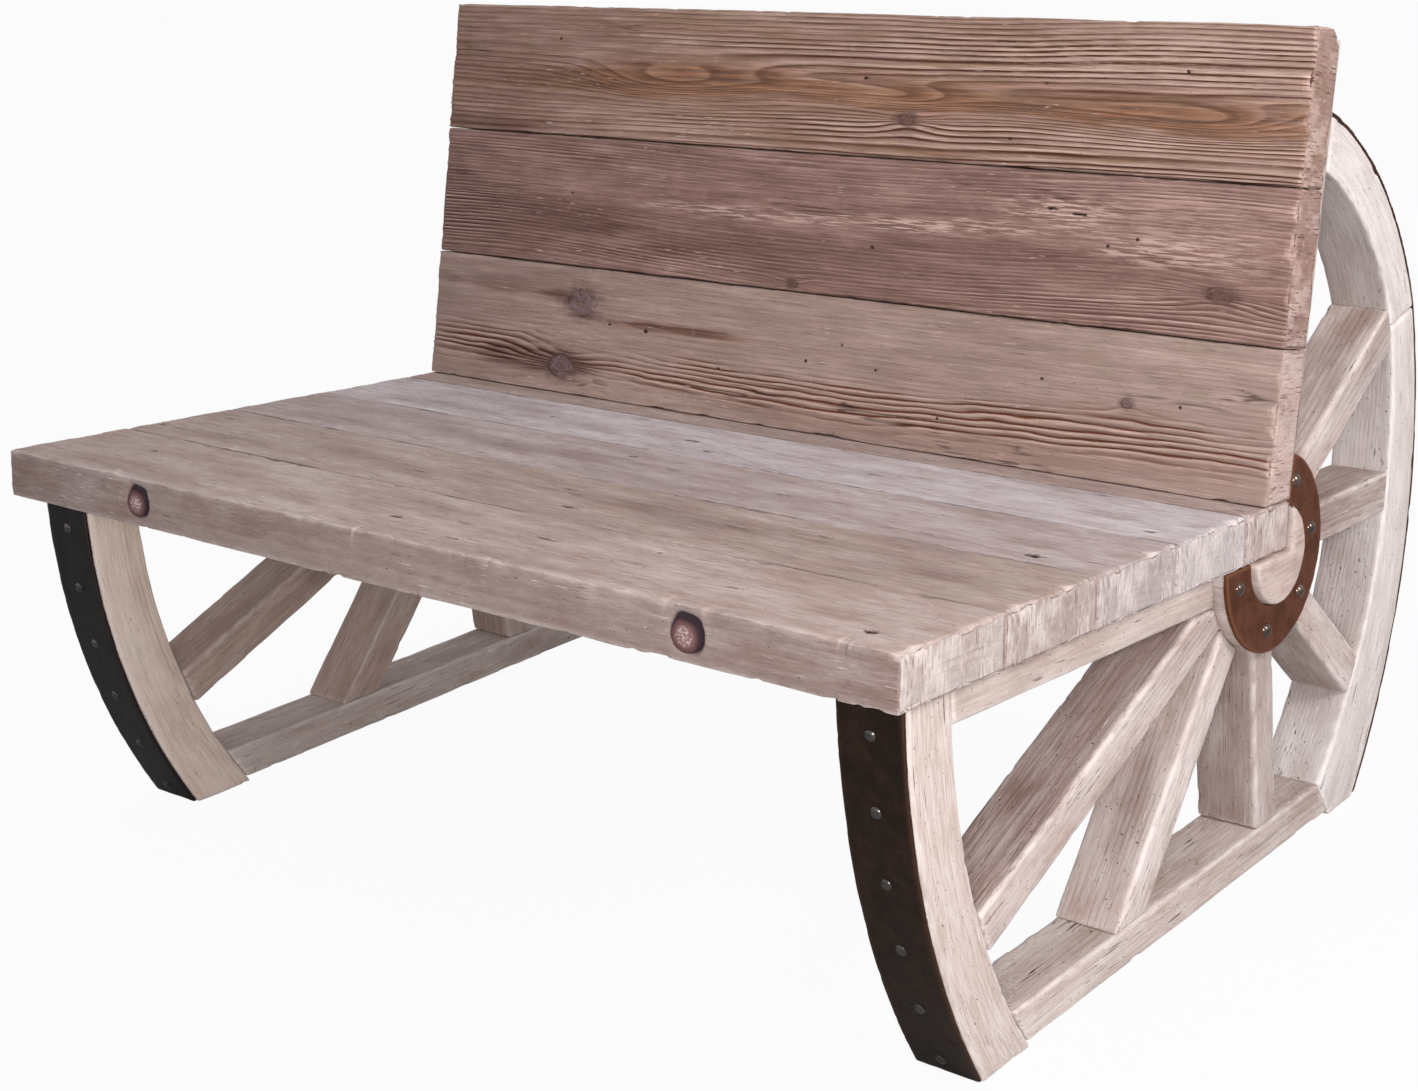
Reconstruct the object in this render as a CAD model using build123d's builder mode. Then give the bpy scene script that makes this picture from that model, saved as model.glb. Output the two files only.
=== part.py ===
from build123d import *
from math import asin, atan2, cos, degrees, radians, sin, sqrt, tan
import os

# Bench of reclaimed planks carried between two cut-down wagon wheels.
# X runs along the bench, -Y is its front and +Z is up. The origin is on the floor,
# under the middle of the overall size. Lengths are in millimetres, angles in degrees.
# A place in a wheel is a pair: the distance behind the axle, and the height above the floor.

# ---- Driving dimensions: planks ----
bench_length = 1220.0
plank_thickness = 53.0
plank_gap = 0.8  # open joint between neighbouring planks
plank_rounding = 4.0  # wear on every plank edge

seat_slope = 3.67  # the seat falls towards the back
seat_height = 412.2  # top of the seat above the axle
seat_overhang = 33.539  # seat ahead of the front felloe
rear_seat_widths = (152.0, 147.0, 142.0, 94.6)  # behind the first plank, which takes the rest

back_recline = 11.2  # from upright
back_foot = 25.5  # front face of the back, ahead of the axle along the seat
back_plank_height = 162.2

# ---- Driving dimensions: wheels ----
wheel_thickness = 71.5
wheel_inset = 17.5  # wheel's outer face to the plank ends
axle_height = 360.5

front_reach = 631.1  # axle to the foremost point of the felloe
front_radius = 754.0
front_centre_height = 387.9
front_felloe_width = 66.0

rear_reach = 380.7
rear_radius = 652.1
rear_centre_height = 407.3
rear_inner_reach = 315.6
rear_inner_radius = 546.8
rear_inner_centre_height = 442.1
rear_joint_angle = 12.8  # butt joint of the two rear felloes, seen from the lower one's centre

upper_radius = 415.3
upper_centre_height = 413.2
upper_inner_radius = 333.2
upper_inner_centre_height = 432.6

rail_depth = 40.0  # seat rails and back rails
back_rail_drop = 5.0  # top of the back rail below the top of the back
bottom_rail_bottom = 7.0
bottom_rail_top = 48.0
toe_slope = 32.0  # rear end of the bottom rail, from upright

spoke_width = 46.0
spoke_angles = (202.6, 229.8, 274.3, 318.0, 357.6, 30.2)  # 0 is rearward, 90 is up

hub_radius = 103.0
hub_proud = 10.5  # hub's outer end beyond the wheel's outer face
nose_radius = 53.0
nose_proud = 7.7  # nose beyond the plate
plate_radius = 105.0
plate_thickness = 6.0

tyre_thickness = 5.0
tyre_width = 70.0
tyre_lift = 3.0  # tyre's cut ends above the floor

# ---- Driving dimensions: joinery and fasteners ----
fit = 0.3  # clearance round every tenon, dowel, nail, screw and bolt, and at hole ends
tenon_radius = 11.0
tenon_length = 25.0  # in the felloes and the bottom rail
hub_tenon_length = 14.0
tenon_root = 20.0  # how far a tenon's cylinder starts inside its spoke

dowel_radius = 5.0
dowel_offset = 18.0  # either side of the wheel's middle
dowel_depth = 25.0

nail_radius = 2.0
nail_length = 24.0
nail_head_radius = 5.3
nail_head_height = 2.6
nail_pitch = 72.0
nail_end_margin = 12.0

bolt_circle = 80.0
bolt_angles = (57.6, 5.0, -45.0, -103.0, -168.0)
bolt_radius = 4.0
bolt_head_radius = 9.5
bolt_head_height = 5.0
bolt_tail = 3.0  # bolt's end beyond its nut
washer_radius = 11.0
washer_thickness = 2.0
nut_across_flats = 13.0
nut_height = 7.0

screw_radius = 3.0
screw_head_radius = 6.0
screw_head_height = 4.0
screw_recess = 10.0  # head below the rail's face
screw_bite = 32.0  # thread in the plank
seat_screw_count = 6
seat_screw_front_margin = 26.463  # behind the seat rail's front end
seat_screw_rear_margin = 87.558  # ahead of the seat rail's end at the hub
back_screw_first = 121.0  # up the back from the seat
back_screw_count = 5
sill_screw_pitch = 225.0
sill_screw_count = 5
sill_screw_bite = 45.0

far = 4.0 * bench_length  # construction lines run past everything


# ---- Layout worked out from the driving dimensions ----
def seat_point(along, above):
    """Place of a point given along the seat behind the axle, and square above its top."""
    slope = radians(seat_slope)
    behind = along * cos(slope) + above * sin(slope)
    return behind, seat_height - along * sin(slope) + above * cos(slope)


def back_point(up, deep):
    """Place of a point given up the back's front face from the seat, and square behind it."""
    recline = radians(back_recline)
    behind, height = seat_point(-back_foot, 0)
    behind += up * sin(recline) + deep * cos(recline)
    return behind, height + up * cos(recline) - deep * sin(recline)


def on_ray(start, angle, distance):
    """Place at a distance from a start, in a direction."""
    turn = radians(angle)
    return start[0] + distance * cos(turn), start[1] + distance * sin(turn)


def half_chord(radius, rise):
    """Horizontal distance from a circle's centre to its edge, at a height from the centre."""
    return sqrt(radius**2 - rise**2)


def ray_to_circle(start, angle, centre, radius):
    """Distance along a ray to the far side of a circle that holds its start."""
    turn = radians(angle)
    across = (centre[0] - start[0]) * cos(turn) + (centre[1] - start[1]) * sin(turn)
    gap_squared = (centre[0] - start[0]) ** 2 + (centre[1] - start[1]) ** 2 - across**2
    return across + sqrt(radius**2 - gap_squared)


lean = radians(back_recline - seat_slope)  # between the back and a square to the seat
seat_rear = plank_thickness / cos(lean) - back_foot
seat_front = -front_reach - seat_overhang
first_seat_width = seat_rear - seat_front - sum(rear_seat_widths)
seat_plank_widths = (first_seat_width, *rear_seat_widths)
back_height = 3 * back_plank_height
back_bevel = plank_thickness * tan(lean)

wheel_outer = bench_length / 2 - wheel_inset
wheel_inner = wheel_outer - wheel_thickness
wheel_middle = (wheel_outer + wheel_inner) / 2
hub_face = wheel_outer + hub_proud
plate_face = hub_face + plate_thickness
nose_face = plate_face + nose_proud
axle = (0.0, axle_height)

# The felloes are arcs; the upper rear one starts where the lower one ends.
front_centre = (front_radius - front_reach, front_centre_height)
front_inner_radius = front_radius - front_felloe_width
rear_centre = (rear_reach - rear_radius, rear_centre_height)
rear_inner_centre = (rear_inner_reach - rear_inner_radius, rear_inner_centre_height)
joint_outside = on_ray(rear_centre, rear_joint_angle, rear_radius)
joint_inside = on_ray(
    rear_centre,
    rear_joint_angle,
    ray_to_circle(rear_centre, rear_joint_angle, rear_inner_centre, rear_inner_radius),
)
upper_chord = half_chord(upper_radius, joint_outside[1] - upper_centre_height)
upper_centre = (joint_outside[0] - upper_chord, upper_centre_height)
upper_inner_chord = half_chord(
    upper_inner_radius, joint_inside[1] - upper_inner_centre_height
)
upper_inner_centre = (joint_inside[0] - upper_inner_chord, upper_inner_centre_height)

# The bottom rail's rear end slants back from the felloe's inner edge to the floor.
toe_rise = bottom_rail_top - rear_inner_centre_height
toe_top = (rear_inner_centre[0] + half_chord(rear_inner_radius, toe_rise), bottom_rail_top)
toe_floor = (toe_top[0] + bottom_rail_top * tan(radians(toe_slope)), 0.0)
toe_end = (
    toe_floor[0] - bottom_rail_bottom * tan(radians(toe_slope)),
    bottom_rail_bottom,
)

# The overall size runs from the seat's front lower edge to the rear tyre.
front_corner = seat_point(seat_front + plank_rounding, plank_rounding - plank_thickness)
front_extent = plank_rounding - front_corner[0]
axle_y = (front_extent - rear_reach - tyre_thickness) / 2


def wheel_plane(x):
    """Upright plane across the bench, whose own axes are those of a place in a wheel."""
    return Plane(origin=(x, axle_y, 0), x_dir=(0, 1, 0), z_dir=(1, 0, 0))


def pin_plane(x, place, angle):
    """Plane at a place, square to a pin that leaves it at an angle."""
    turn = radians(angle)
    origin = (x, axle_y + place[0], place[1])
    return Plane(origin=origin, x_dir=(1, 0, 0), z_dir=(0, cos(turn), sin(turn)))


def round_bar(plane, radius, length, mode=Mode.ADD):
    """Cylinder that stands on a plane, in the part being built."""
    with BuildSketch(plane) as disc:
        Circle(radius)
    extrude(disc.sketch, amount=length, mode=mode)


# ---- Profiles of the wheel's pieces ----
def circle_at(centre, radius, mode=Mode.ADD):
    """Full circle round a place."""
    with Locations(centre):
        Circle(radius, mode=mode)


with BuildSketch() as notch:
    # the seat and the back fill this corner of the hub
    Polygon(
        seat_point(-far, -plank_thickness),
        seat_point(seat_rear, -plank_thickness),
        seat_point(seat_rear, 0),
        back_point(far, plank_thickness),
        (-far, far),
        align=None,
    )

with BuildSketch() as front_felloe_outline:
    circle_at(front_centre, front_radius)
    circle_at(front_centre, front_inner_radius, Mode.SUBTRACT)
    Polygon(
        (-far, 0),
        (0, 0),
        seat_point(0, -plank_thickness),
        seat_point(-far, -plank_thickness),
        align=None,
        mode=Mode.INTERSECT,
    )

with BuildSketch() as below_joint:
    Polygon(
        rear_centre,
        on_ray(rear_centre, rear_joint_angle, far),
        (far, 0),
        toe_floor,
        toe_top,
        align=None,
    )

with BuildSketch() as above_joint:
    Polygon(
        back_point(0, plank_thickness + rail_depth),
        back_point(far, plank_thickness + rail_depth),
        on_ray(rear_centre, rear_joint_angle, far),
        on_ray(joint_inside, 180 + rear_joint_angle, upper_inner_radius / 2),
        align=None,
    )

with BuildSketch() as rear_felloe_lower_outline:
    circle_at(rear_centre, rear_radius)
    circle_at(rear_inner_centre, rear_inner_radius, Mode.SUBTRACT)
    add(below_joint.sketch, mode=Mode.INTERSECT)

with BuildSketch() as rear_felloe_upper_outline:
    circle_at(upper_centre, upper_radius)
    circle_at(upper_inner_centre, upper_inner_radius, Mode.SUBTRACT)
    add(above_joint.sketch, mode=Mode.INTERSECT)

with BuildSketch() as seat_rail_outline:
    Polygon(
        seat_point(-far, -plank_thickness),
        seat_point(0, -plank_thickness),
        seat_point(0, -plank_thickness - rail_depth),
        seat_point(-far, -plank_thickness - rail_depth),
        align=None,
    )
    circle_at(front_centre, front_inner_radius, Mode.INTERSECT)
    circle_at(axle, hub_radius, Mode.SUBTRACT)

with BuildSketch() as back_rail_outline:
    Polygon(
        back_point(0, plank_thickness),
        back_point(back_height - back_rail_drop, plank_thickness),
        back_point(back_height - back_rail_drop, plank_thickness + rail_depth),
        back_point(0, plank_thickness + rail_depth),
        align=None,
    )
    circle_at(axle, hub_radius, Mode.SUBTRACT)

with BuildSketch() as bottom_rail_outline:
    Polygon(
        (-far, bottom_rail_bottom),
        toe_end,
        toe_top,
        (-far, bottom_rail_top),
        align=None,
    )
    circle_at(front_centre, front_inner_radius, Mode.INTERSECT)

with BuildSketch() as inside_rear_felloes:
    circle_at(upper_inner_centre, upper_inner_radius)
    circle_at(rear_inner_centre, rear_inner_radius)
    add(rear_felloe_lower_outline.sketch, mode=Mode.SUBTRACT)
    add(rear_felloe_upper_outline.sketch, mode=Mode.SUBTRACT)

with BuildSketch() as tyre_front_outline:
    circle_at(front_centre, front_radius + tyre_thickness)
    circle_at(front_centre, front_radius, Mode.SUBTRACT)
    Polygon(
        (-far, tyre_lift),
        (0, tyre_lift),
        seat_point(0, -plank_thickness),
        seat_point(-far, -plank_thickness),
        align=None,
        mode=Mode.INTERSECT,
    )

with BuildSketch() as tyre_rear_outline:
    circle_at(rear_centre, rear_radius + tyre_thickness)
    circle_at(rear_centre, rear_radius, Mode.SUBTRACT)
    Polygon(
        rear_centre,
        on_ray(rear_centre, rear_joint_angle, far),
        (far, tyre_lift),
        (0, tyre_lift),
        align=None,
        mode=Mode.INTERSECT,
    )
    with BuildSketch(mode=Mode.PRIVATE) as upper_part:
        circle_at(upper_centre, upper_radius + tyre_thickness)
        circle_at(upper_centre, upper_radius, Mode.SUBTRACT)
        add(above_joint.sketch, mode=Mode.INTERSECT)
    add(upper_part.sketch)


# ---- Places of the fasteners ----
def spoke_reach(angle):
    """Distance from the axle to the end of a spoke's shoulder."""
    reaches = [
        ray_to_circle(axle, angle, front_centre, front_inner_radius),
        ray_to_circle(axle, angle, rear_inner_centre, rear_inner_radius),
    ]
    fall = -sin(radians(angle))
    if fall > 0:
        reaches.append((axle_height - bottom_rail_top) / fall)
    return min(reaches)


def nail_places(centre, radius, start, end):
    """Place and outward angle of each tyre nail on an arc that runs from start to end."""
    length = radians(abs(end - start)) * radius
    way = 1 if end > start else -1
    places = []
    run = nail_pitch / 2
    while run <= length - nail_end_margin:
        angle = start + way * degrees(run / radius)
        places.append((on_ray(centre, angle, radius), angle))
        run += nail_pitch
    return places


def angle_from(centre, place):
    """Direction of a place seen from a centre."""
    return degrees(atan2(place[1] - centre[1], place[0] - centre[0]))


front_face_radius = front_radius + tyre_thickness
rear_face_radius = rear_radius + tyre_thickness
upper_face_radius = upper_radius + tyre_thickness
front_tyre_top = 180 - degrees(
    asin((seat_point(-front_reach, -plank_thickness)[1] - front_centre_height) / front_radius)
)
front_tyre_end = 180 + degrees(asin((front_centre_height - tyre_lift) / front_face_radius))
rear_tyre_end = -degrees(asin((rear_centre_height - tyre_lift) / rear_face_radius))
upper_start = angle_from(upper_centre, joint_outside)
rail_rear = plank_thickness + rail_depth
rear_line = back_point(0, rail_rear)
upper_top = ray_to_circle(rear_line, 90 - back_recline, upper_centre, upper_radius)
upper_low = ray_to_circle(rear_line, 90 - back_recline, upper_inner_centre, upper_inner_radius)
upper_end = angle_from(upper_centre, back_point(upper_top, rail_rear))

nails = (
    nail_places(front_centre, front_face_radius, front_tyre_top, front_tyre_end)
    + nail_places(rear_centre, rear_face_radius, rear_joint_angle, rear_tyre_end)
    + nail_places(upper_centre, upper_face_radius, upper_start, upper_end)
)

# Each dowel joint: its place, the dowels' direction, and their depth each way.
rail_level = (bottom_rail_bottom + bottom_rail_top) / 2
rail_line = seat_point(0, -plank_thickness - rail_depth / 2)
seat_rail_front = ray_to_circle(
    rail_line, 180 - seat_slope, front_centre, front_inner_radius
)
seat_rail_rear = ray_to_circle(rail_line, 180 - seat_slope, axle, hub_radius)
post_line = back_point(0, plank_thickness + rail_depth / 2)
back_rail_foot = ray_to_circle(post_line, 90 - back_recline, axle, hub_radius)
front_rail_end = front_centre[0] - half_chord(
    front_inner_radius, front_centre_height - rail_level
)
dowel_joints = (
    ((front_rail_end, rail_level), 180.0, dowel_depth, dowel_depth),
    (
        (toe_floor[0] - rail_level * tan(radians(toe_slope)), rail_level),
        0.0,
        dowel_depth,
        dowel_depth,
    ),
    (
        on_ray(rail_line, 180 - seat_slope, seat_rail_front),
        180 - seat_slope,
        dowel_depth,
        dowel_depth,
    ),
    (
        on_ray(rail_line, 180 - seat_slope, seat_rail_rear),
        180 - seat_slope,
        hub_tenon_length,
        dowel_depth,
    ),
    (
        on_ray(post_line, 90 - back_recline, back_rail_foot),
        90 - back_recline,
        hub_tenon_length,
        dowel_depth,
    ),
    (
        (
            (joint_outside[0] + joint_inside[0]) / 2,
            (joint_outside[1] + joint_inside[1]) / 2,
        ),
        90 + rear_joint_angle,
        dowel_depth,
        dowel_depth,
    ),
    (
        back_point((upper_low + upper_top) / 2, rail_rear),
        -back_recline,
        dowel_depth,
        dowel_depth,
    ),
)


def place_dowels(radius, slack, mode=Mode.ADD):
    """Dowels of one wheel, or their holes where radius and slack are larger."""
    for place, angle, before, after in dowel_joints:
        start = on_ray(place, 180 + angle, before + slack)
        for side in (-1, 1):
            plane = pin_plane(wheel_middle + side * dowel_offset, start, angle)
            round_bar(plane, radius, before + after + 2 * slack, mode)


seat_way = 90 - seat_slope  # square up through the seat
back_way = 180 - back_recline  # square forward through the back
rail_grip = rail_depth - screw_recess - screw_head_height


first_seat_screw = seat_rail_front - seat_screw_front_margin
last_seat_screw = seat_rail_rear + seat_screw_rear_margin
seat_screw_pitch = (first_seat_screw - last_seat_screw) / (seat_screw_count - 1)


def seat_screw_planes(side):
    """Under each screw head below the seat rail of one wheel."""
    planes = []
    for number in range(seat_screw_count):
        along = number * seat_screw_pitch - first_seat_screw
        place = seat_point(along, screw_recess - plank_thickness - rail_depth)
        planes.append(pin_plane(side * wheel_middle, place, seat_way))
    return planes


def back_screw_planes(side):
    """Behind each screw head in the back rail of one wheel."""
    planes = []
    for number in range(back_screw_count):
        up = back_screw_first + number * back_plank_height / 2
        place = back_point(up, rail_rear - screw_recess)
        planes.append(pin_plane(side * wheel_middle, place, back_way))
    return planes


def sill_screw_planes():
    """Under each screw head that holds the back down on the rear seat plank."""
    along = (seat_rear - back_foot) / 2
    place = seat_point(along, screw_recess - plank_thickness)
    first = -(sill_screw_count - 1) / 2
    spots = [(first + number) * sill_screw_pitch for number in range(sill_screw_count)]
    return [pin_plane(x, place, seat_way) for x in spots]


def add_screws(planes, shank):
    """Screws driven from planes that lie under their heads."""
    for plane in planes:
        round_bar(plane, screw_head_radius, screw_head_height)
        round_bar(plane.offset(screw_head_height), screw_radius, shank)


def cut_screws(planes, shank):
    """Recessed holes for such screws."""
    for plane in planes:
        deep = screw_recess + screw_head_height
        round_bar(plane.offset(-screw_recess), screw_head_radius + fit, deep, Mode.SUBTRACT)
        start = plane.offset(screw_head_height)
        round_bar(start, screw_radius + fit, shank + fit, Mode.SUBTRACT)


seat_shank = rail_grip + screw_bite
sill_shank = plank_thickness - screw_recess - screw_head_height + sill_screw_bite

os.makedirs("parts", exist_ok=True)


def write(piece, name):
    """Label one finished piece and write its file."""
    piece.label = name
    export_step(piece, f"parts/{name}.step")


def write_pair(builder, name):
    """Write a right-hand piece, and its mirror image for the left wheel."""
    write(builder.part, f"{name}_right")
    with BuildPart() as other:
        add(mirror(builder.part, about=Plane.YZ, mode=Mode.PRIVATE))
    write(other.part, f"{name}_left")


# ---- Planks ----
front_edge = seat_front
for number, width in enumerate(seat_plank_widths, start=1):
    low = front_edge + (plank_gap / 2 if number > 1 else 0)
    high = front_edge + width - (plank_gap / 2 if number < len(seat_plank_widths) else 0)
    front_edge += width
    with BuildPart() as seat_plank:
        with BuildSketch(wheel_plane(0)):
            Polygon(
                seat_point(low, -plank_thickness),
                seat_point(high, -plank_thickness),
                seat_point(high, 0),
                seat_point(low, 0),
                align=None,
            )
        extrude(amount=bench_length / 2, both=True)
        fillet(seat_plank.edges(), plank_rounding)
        for side in (-1, 1):
            cut_screws(seat_screw_planes(side), seat_shank)
        cut_screws(sill_screw_planes(), sill_shank)
    write(seat_plank.part, f"seat_plank_{number}")

for number, name in enumerate(("bottom", "middle", "top")):
    low = number * back_plank_height + (plank_gap / 2 if number > 0 else 0)
    high = (number + 1) * back_plank_height - (plank_gap / 2 if number < 2 else 0)
    rear_low = low if number > 0 else back_bevel
    with BuildPart() as back_plank:
        with BuildSketch(wheel_plane(0)):
            Polygon(
                back_point(low, 0),
                back_point(rear_low, plank_thickness),
                back_point(high, plank_thickness),
                back_point(high, 0),
                align=None,
            )
        extrude(amount=bench_length / 2, both=True)
        fillet(back_plank.edges(), plank_rounding)
        for side in (-1, 1):
            cut_screws(back_screw_planes(side), seat_shank)
        cut_screws(sill_screw_planes(), sill_shank)
    write(back_plank.part, f"back_plank_{name}")

# ---- Sockets shared by the pieces of one wheel ----
with BuildPart() as rim_sockets:
    for angle in spoke_angles:
        start = on_ray(axle, angle, spoke_reach(angle) - tenon_root)
        socket_length = tenon_root + tenon_length + fit
        round_bar(pin_plane(wheel_middle, start, angle), tenon_radius + fit, socket_length)

with BuildPart() as hub_sockets:
    for angle in spoke_angles:
        start = on_ray(axle, angle, hub_radius - hub_tenon_length - fit)
        socket_length = tenon_root + hub_tenon_length + fit
        round_bar(pin_plane(wheel_middle, start, angle), tenon_radius + fit, socket_length)

with BuildPart() as nail_holes:
    for place, angle in nails:
        start = on_ray(place, angle, -tyre_thickness - nail_length - fit)
        hole_length = nail_length + 2 * tyre_thickness + fit
        round_bar(pin_plane(wheel_middle, start, angle), nail_radius + fit, hole_length)

with BuildPart() as dowel_holes:
    place_dowels(dowel_radius + fit, fit)


def add_wheel_slab(outline):
    """Give an outline the thickness of the right wheel."""
    with BuildSketch(wheel_plane(wheel_inner)) as section:
        add(outline.sketch)
    extrude(section.sketch, amount=wheel_thickness)


# ---- Felloes and rails ----
rim_pieces = {
    "front_felloe": front_felloe_outline,
    "rear_felloe_lower": rear_felloe_lower_outline,
    "rear_felloe_upper": rear_felloe_upper_outline,
    "bottom_rail": bottom_rail_outline,
}
for name, outline in rim_pieces.items():
    with BuildPart() as rim_piece:
        add_wheel_slab(outline)
        add(rim_sockets.part, mode=Mode.SUBTRACT)
        add(nail_holes.part, mode=Mode.SUBTRACT)
        add(dowel_holes.part, mode=Mode.SUBTRACT)
    write_pair(rim_piece, name)

with BuildPart() as seat_rail:
    add_wheel_slab(seat_rail_outline)
    add(dowel_holes.part, mode=Mode.SUBTRACT)
    cut_screws(seat_screw_planes(1), seat_shank)
write_pair(seat_rail, "seat_rail")

with BuildPart() as back_rail:
    add_wheel_slab(back_rail_outline)
    add(dowel_holes.part, mode=Mode.SUBTRACT)
    cut_screws(back_screw_planes(1), seat_shank)
write_pair(back_rail, "back_rail")

with BuildPart() as felloe_dowels:
    place_dowels(dowel_radius, 0)
write_pair(felloe_dowels, "felloe_dowels")

# ---- Spokes, shouldered to the hub, the felloes and the rails ----
for number, angle in enumerate(spoke_angles, start=1):
    reach = spoke_reach(angle)
    with BuildPart() as spoke:
        with BuildSketch(wheel_plane(wheel_inner)):
            Polygon(
                on_ray(axle, angle + 90, spoke_width / 2),
                on_ray(on_ray(axle, angle, far), angle + 90, spoke_width / 2),
                on_ray(on_ray(axle, angle, far), angle - 90, spoke_width / 2),
                on_ray(axle, angle - 90, spoke_width / 2),
                align=None,
            )
            circle_at(front_centre, front_inner_radius, Mode.INTERSECT)
            add(inside_rear_felloes.sketch, mode=Mode.INTERSECT)
            Polygon(
                (-far, bottom_rail_top),
                (far, bottom_rail_top),
                (far, far),
                (-far, far),
                align=None,
                mode=Mode.INTERSECT,
            )
            circle_at(axle, hub_radius, Mode.SUBTRACT)
        extrude(amount=wheel_thickness)
        inner_end = on_ray(axle, angle, hub_radius - hub_tenon_length)
        round_bar(
            pin_plane(wheel_middle, inner_end, angle),
            tenon_radius,
            hub_tenon_length + tenon_root,
        )
        outer_start = on_ray(axle, angle, reach - tenon_root)
        round_bar(
            pin_plane(wheel_middle, outer_start, angle),
            tenon_radius,
            tenon_root + tenon_length,
        )
        for neighbour in (seat_rail_outline, back_rail_outline):
            with BuildSketch(wheel_plane(wheel_inner)):
                add(neighbour.sketch)
            extrude(amount=wheel_thickness, mode=Mode.SUBTRACT)
    write_pair(spoke, f"spoke_{number}")

# ---- Hub with its nose, plate and bolts ----
bolt_places = [on_ray(axle, angle, bolt_circle) for angle in bolt_angles]


def notched_disc(x, radius, length):
    """Disc round the axle, cut away where the seat and the back sit in it."""
    with BuildSketch(wheel_plane(x)) as disc:
        circle_at(axle, radius)
        add(notch.sketch, mode=Mode.SUBTRACT)
    extrude(disc.sketch, amount=length)


def cut_at_bolts(x, radius, length):
    """Round holes at the bolts."""
    with BuildSketch(wheel_plane(x)) as holes:
        with Locations(*bolt_places):
            Circle(radius)
    extrude(holes.sketch, amount=length, mode=Mode.SUBTRACT)


with BuildPart() as hub:
    notched_disc(wheel_inner, hub_radius, hub_face - wheel_inner)
    notched_disc(hub_face, nose_radius, nose_face - hub_face)
    add(hub_sockets.part, mode=Mode.SUBTRACT)
    add(dowel_holes.part, mode=Mode.SUBTRACT)
    cut_at_bolts(wheel_inner, bolt_radius + fit, hub_face - wheel_inner)
write_pair(hub, "hub")

with BuildPart() as hub_plate:
    notched_disc(hub_face, plate_radius, plate_thickness)
    with BuildSketch(wheel_plane(hub_face)):
        circle_at(axle, nose_radius + fit)
    extrude(amount=plate_thickness, mode=Mode.SUBTRACT)
    cut_at_bolts(hub_face, bolt_radius + fit, plate_thickness)
write_pair(hub_plate, "hub_plate")

nut_face = wheel_inner - washer_thickness
bolt_end = nut_face - nut_height - bolt_tail

with BuildPart() as hub_bolts:
    with BuildSketch(wheel_plane(plate_face)):
        with Locations(*bolt_places):
            Circle(bolt_head_radius)
    extrude(amount=bolt_head_height)
    crown = hub_bolts.edges().group_by(Axis.X)[-1]
    fillet(crown, 0.8 * bolt_head_height)
    with BuildSketch(wheel_plane(bolt_end)):
        with Locations(*bolt_places):
            Circle(bolt_radius)
    extrude(amount=plate_face - bolt_end)
write_pair(hub_bolts, "hub_bolts")

with BuildPart() as hub_washers:
    with BuildSketch(wheel_plane(nut_face)):
        with Locations(*bolt_places):
            Circle(washer_radius)
            Circle(bolt_radius + fit, mode=Mode.SUBTRACT)
    extrude(amount=washer_thickness)
write_pair(hub_washers, "hub_washers")

with BuildPart() as hub_nuts:
    with BuildSketch(wheel_plane(nut_face - nut_height)):
        with Locations(*bolt_places):
            RegularPolygon(nut_across_flats / 2, 6, major_radius=False)
            Circle(bolt_radius + fit, mode=Mode.SUBTRACT)
    extrude(amount=nut_height)
write_pair(hub_nuts, "hub_nuts")

# ---- Iron tyres and their nails ----
tyre_edge = wheel_middle - tyre_width / 2
for name, outline in {"tyre_front": tyre_front_outline, "tyre_rear": tyre_rear_outline}.items():
    with BuildPart() as tyre:
        with BuildSketch(wheel_plane(tyre_edge)):
            add(outline.sketch)
        extrude(amount=tyre_width)
        add(nail_holes.part, mode=Mode.SUBTRACT)
    write_pair(tyre, name)

with BuildPart() as tyre_nails:
    for place, angle in nails:
        head = pin_plane(wheel_middle, place, angle)
        round_bar(head, nail_head_radius, nail_head_height)
        start = on_ray(place, angle, -tyre_thickness - nail_length)
        shank = pin_plane(wheel_middle, start, angle)
        round_bar(shank, nail_radius, nail_length + tyre_thickness)
write_pair(tyre_nails, "tyre_nails")

# ---- Screws ----
with BuildPart() as seat_screws:
    add_screws(seat_screw_planes(1), seat_shank)
write_pair(seat_screws, "seat_screws")

with BuildPart() as back_screws:
    add_screws(back_screw_planes(1), seat_shank)
write_pair(back_screws, "back_screws")

with BuildPart() as sill_screws:
    add_screws(sill_screw_planes(), sill_shank)
write(sill_screws.part, "sill_screws")

print("axle_y", round(axle_y, 3), "seat front", round(seat_front, 2), "nails", len(nails))
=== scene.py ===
# %% [markdown]
# # A plank bench between two cut-down wagon wheels
# The bench is made of thick old planks. Each end is half of a wooden wagon wheel, sawn off flat so
# that it stands. The solids of every piece are already there, packed as a fixed frame. This file gives
# them their looks: grain that stands proud, knots, worn edges, rusty iron and pale sun-bleached oak.
# Blender works in metres, but sizes below are written in millimetres and scaled by MM.

# %% Load the frame
from functools import partial
from math import cos, degrees, pi, radians, sin
from types import SimpleNamespace

import bmesh
import bpy
import numpy as np
from mathutils import Matrix, Vector


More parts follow.
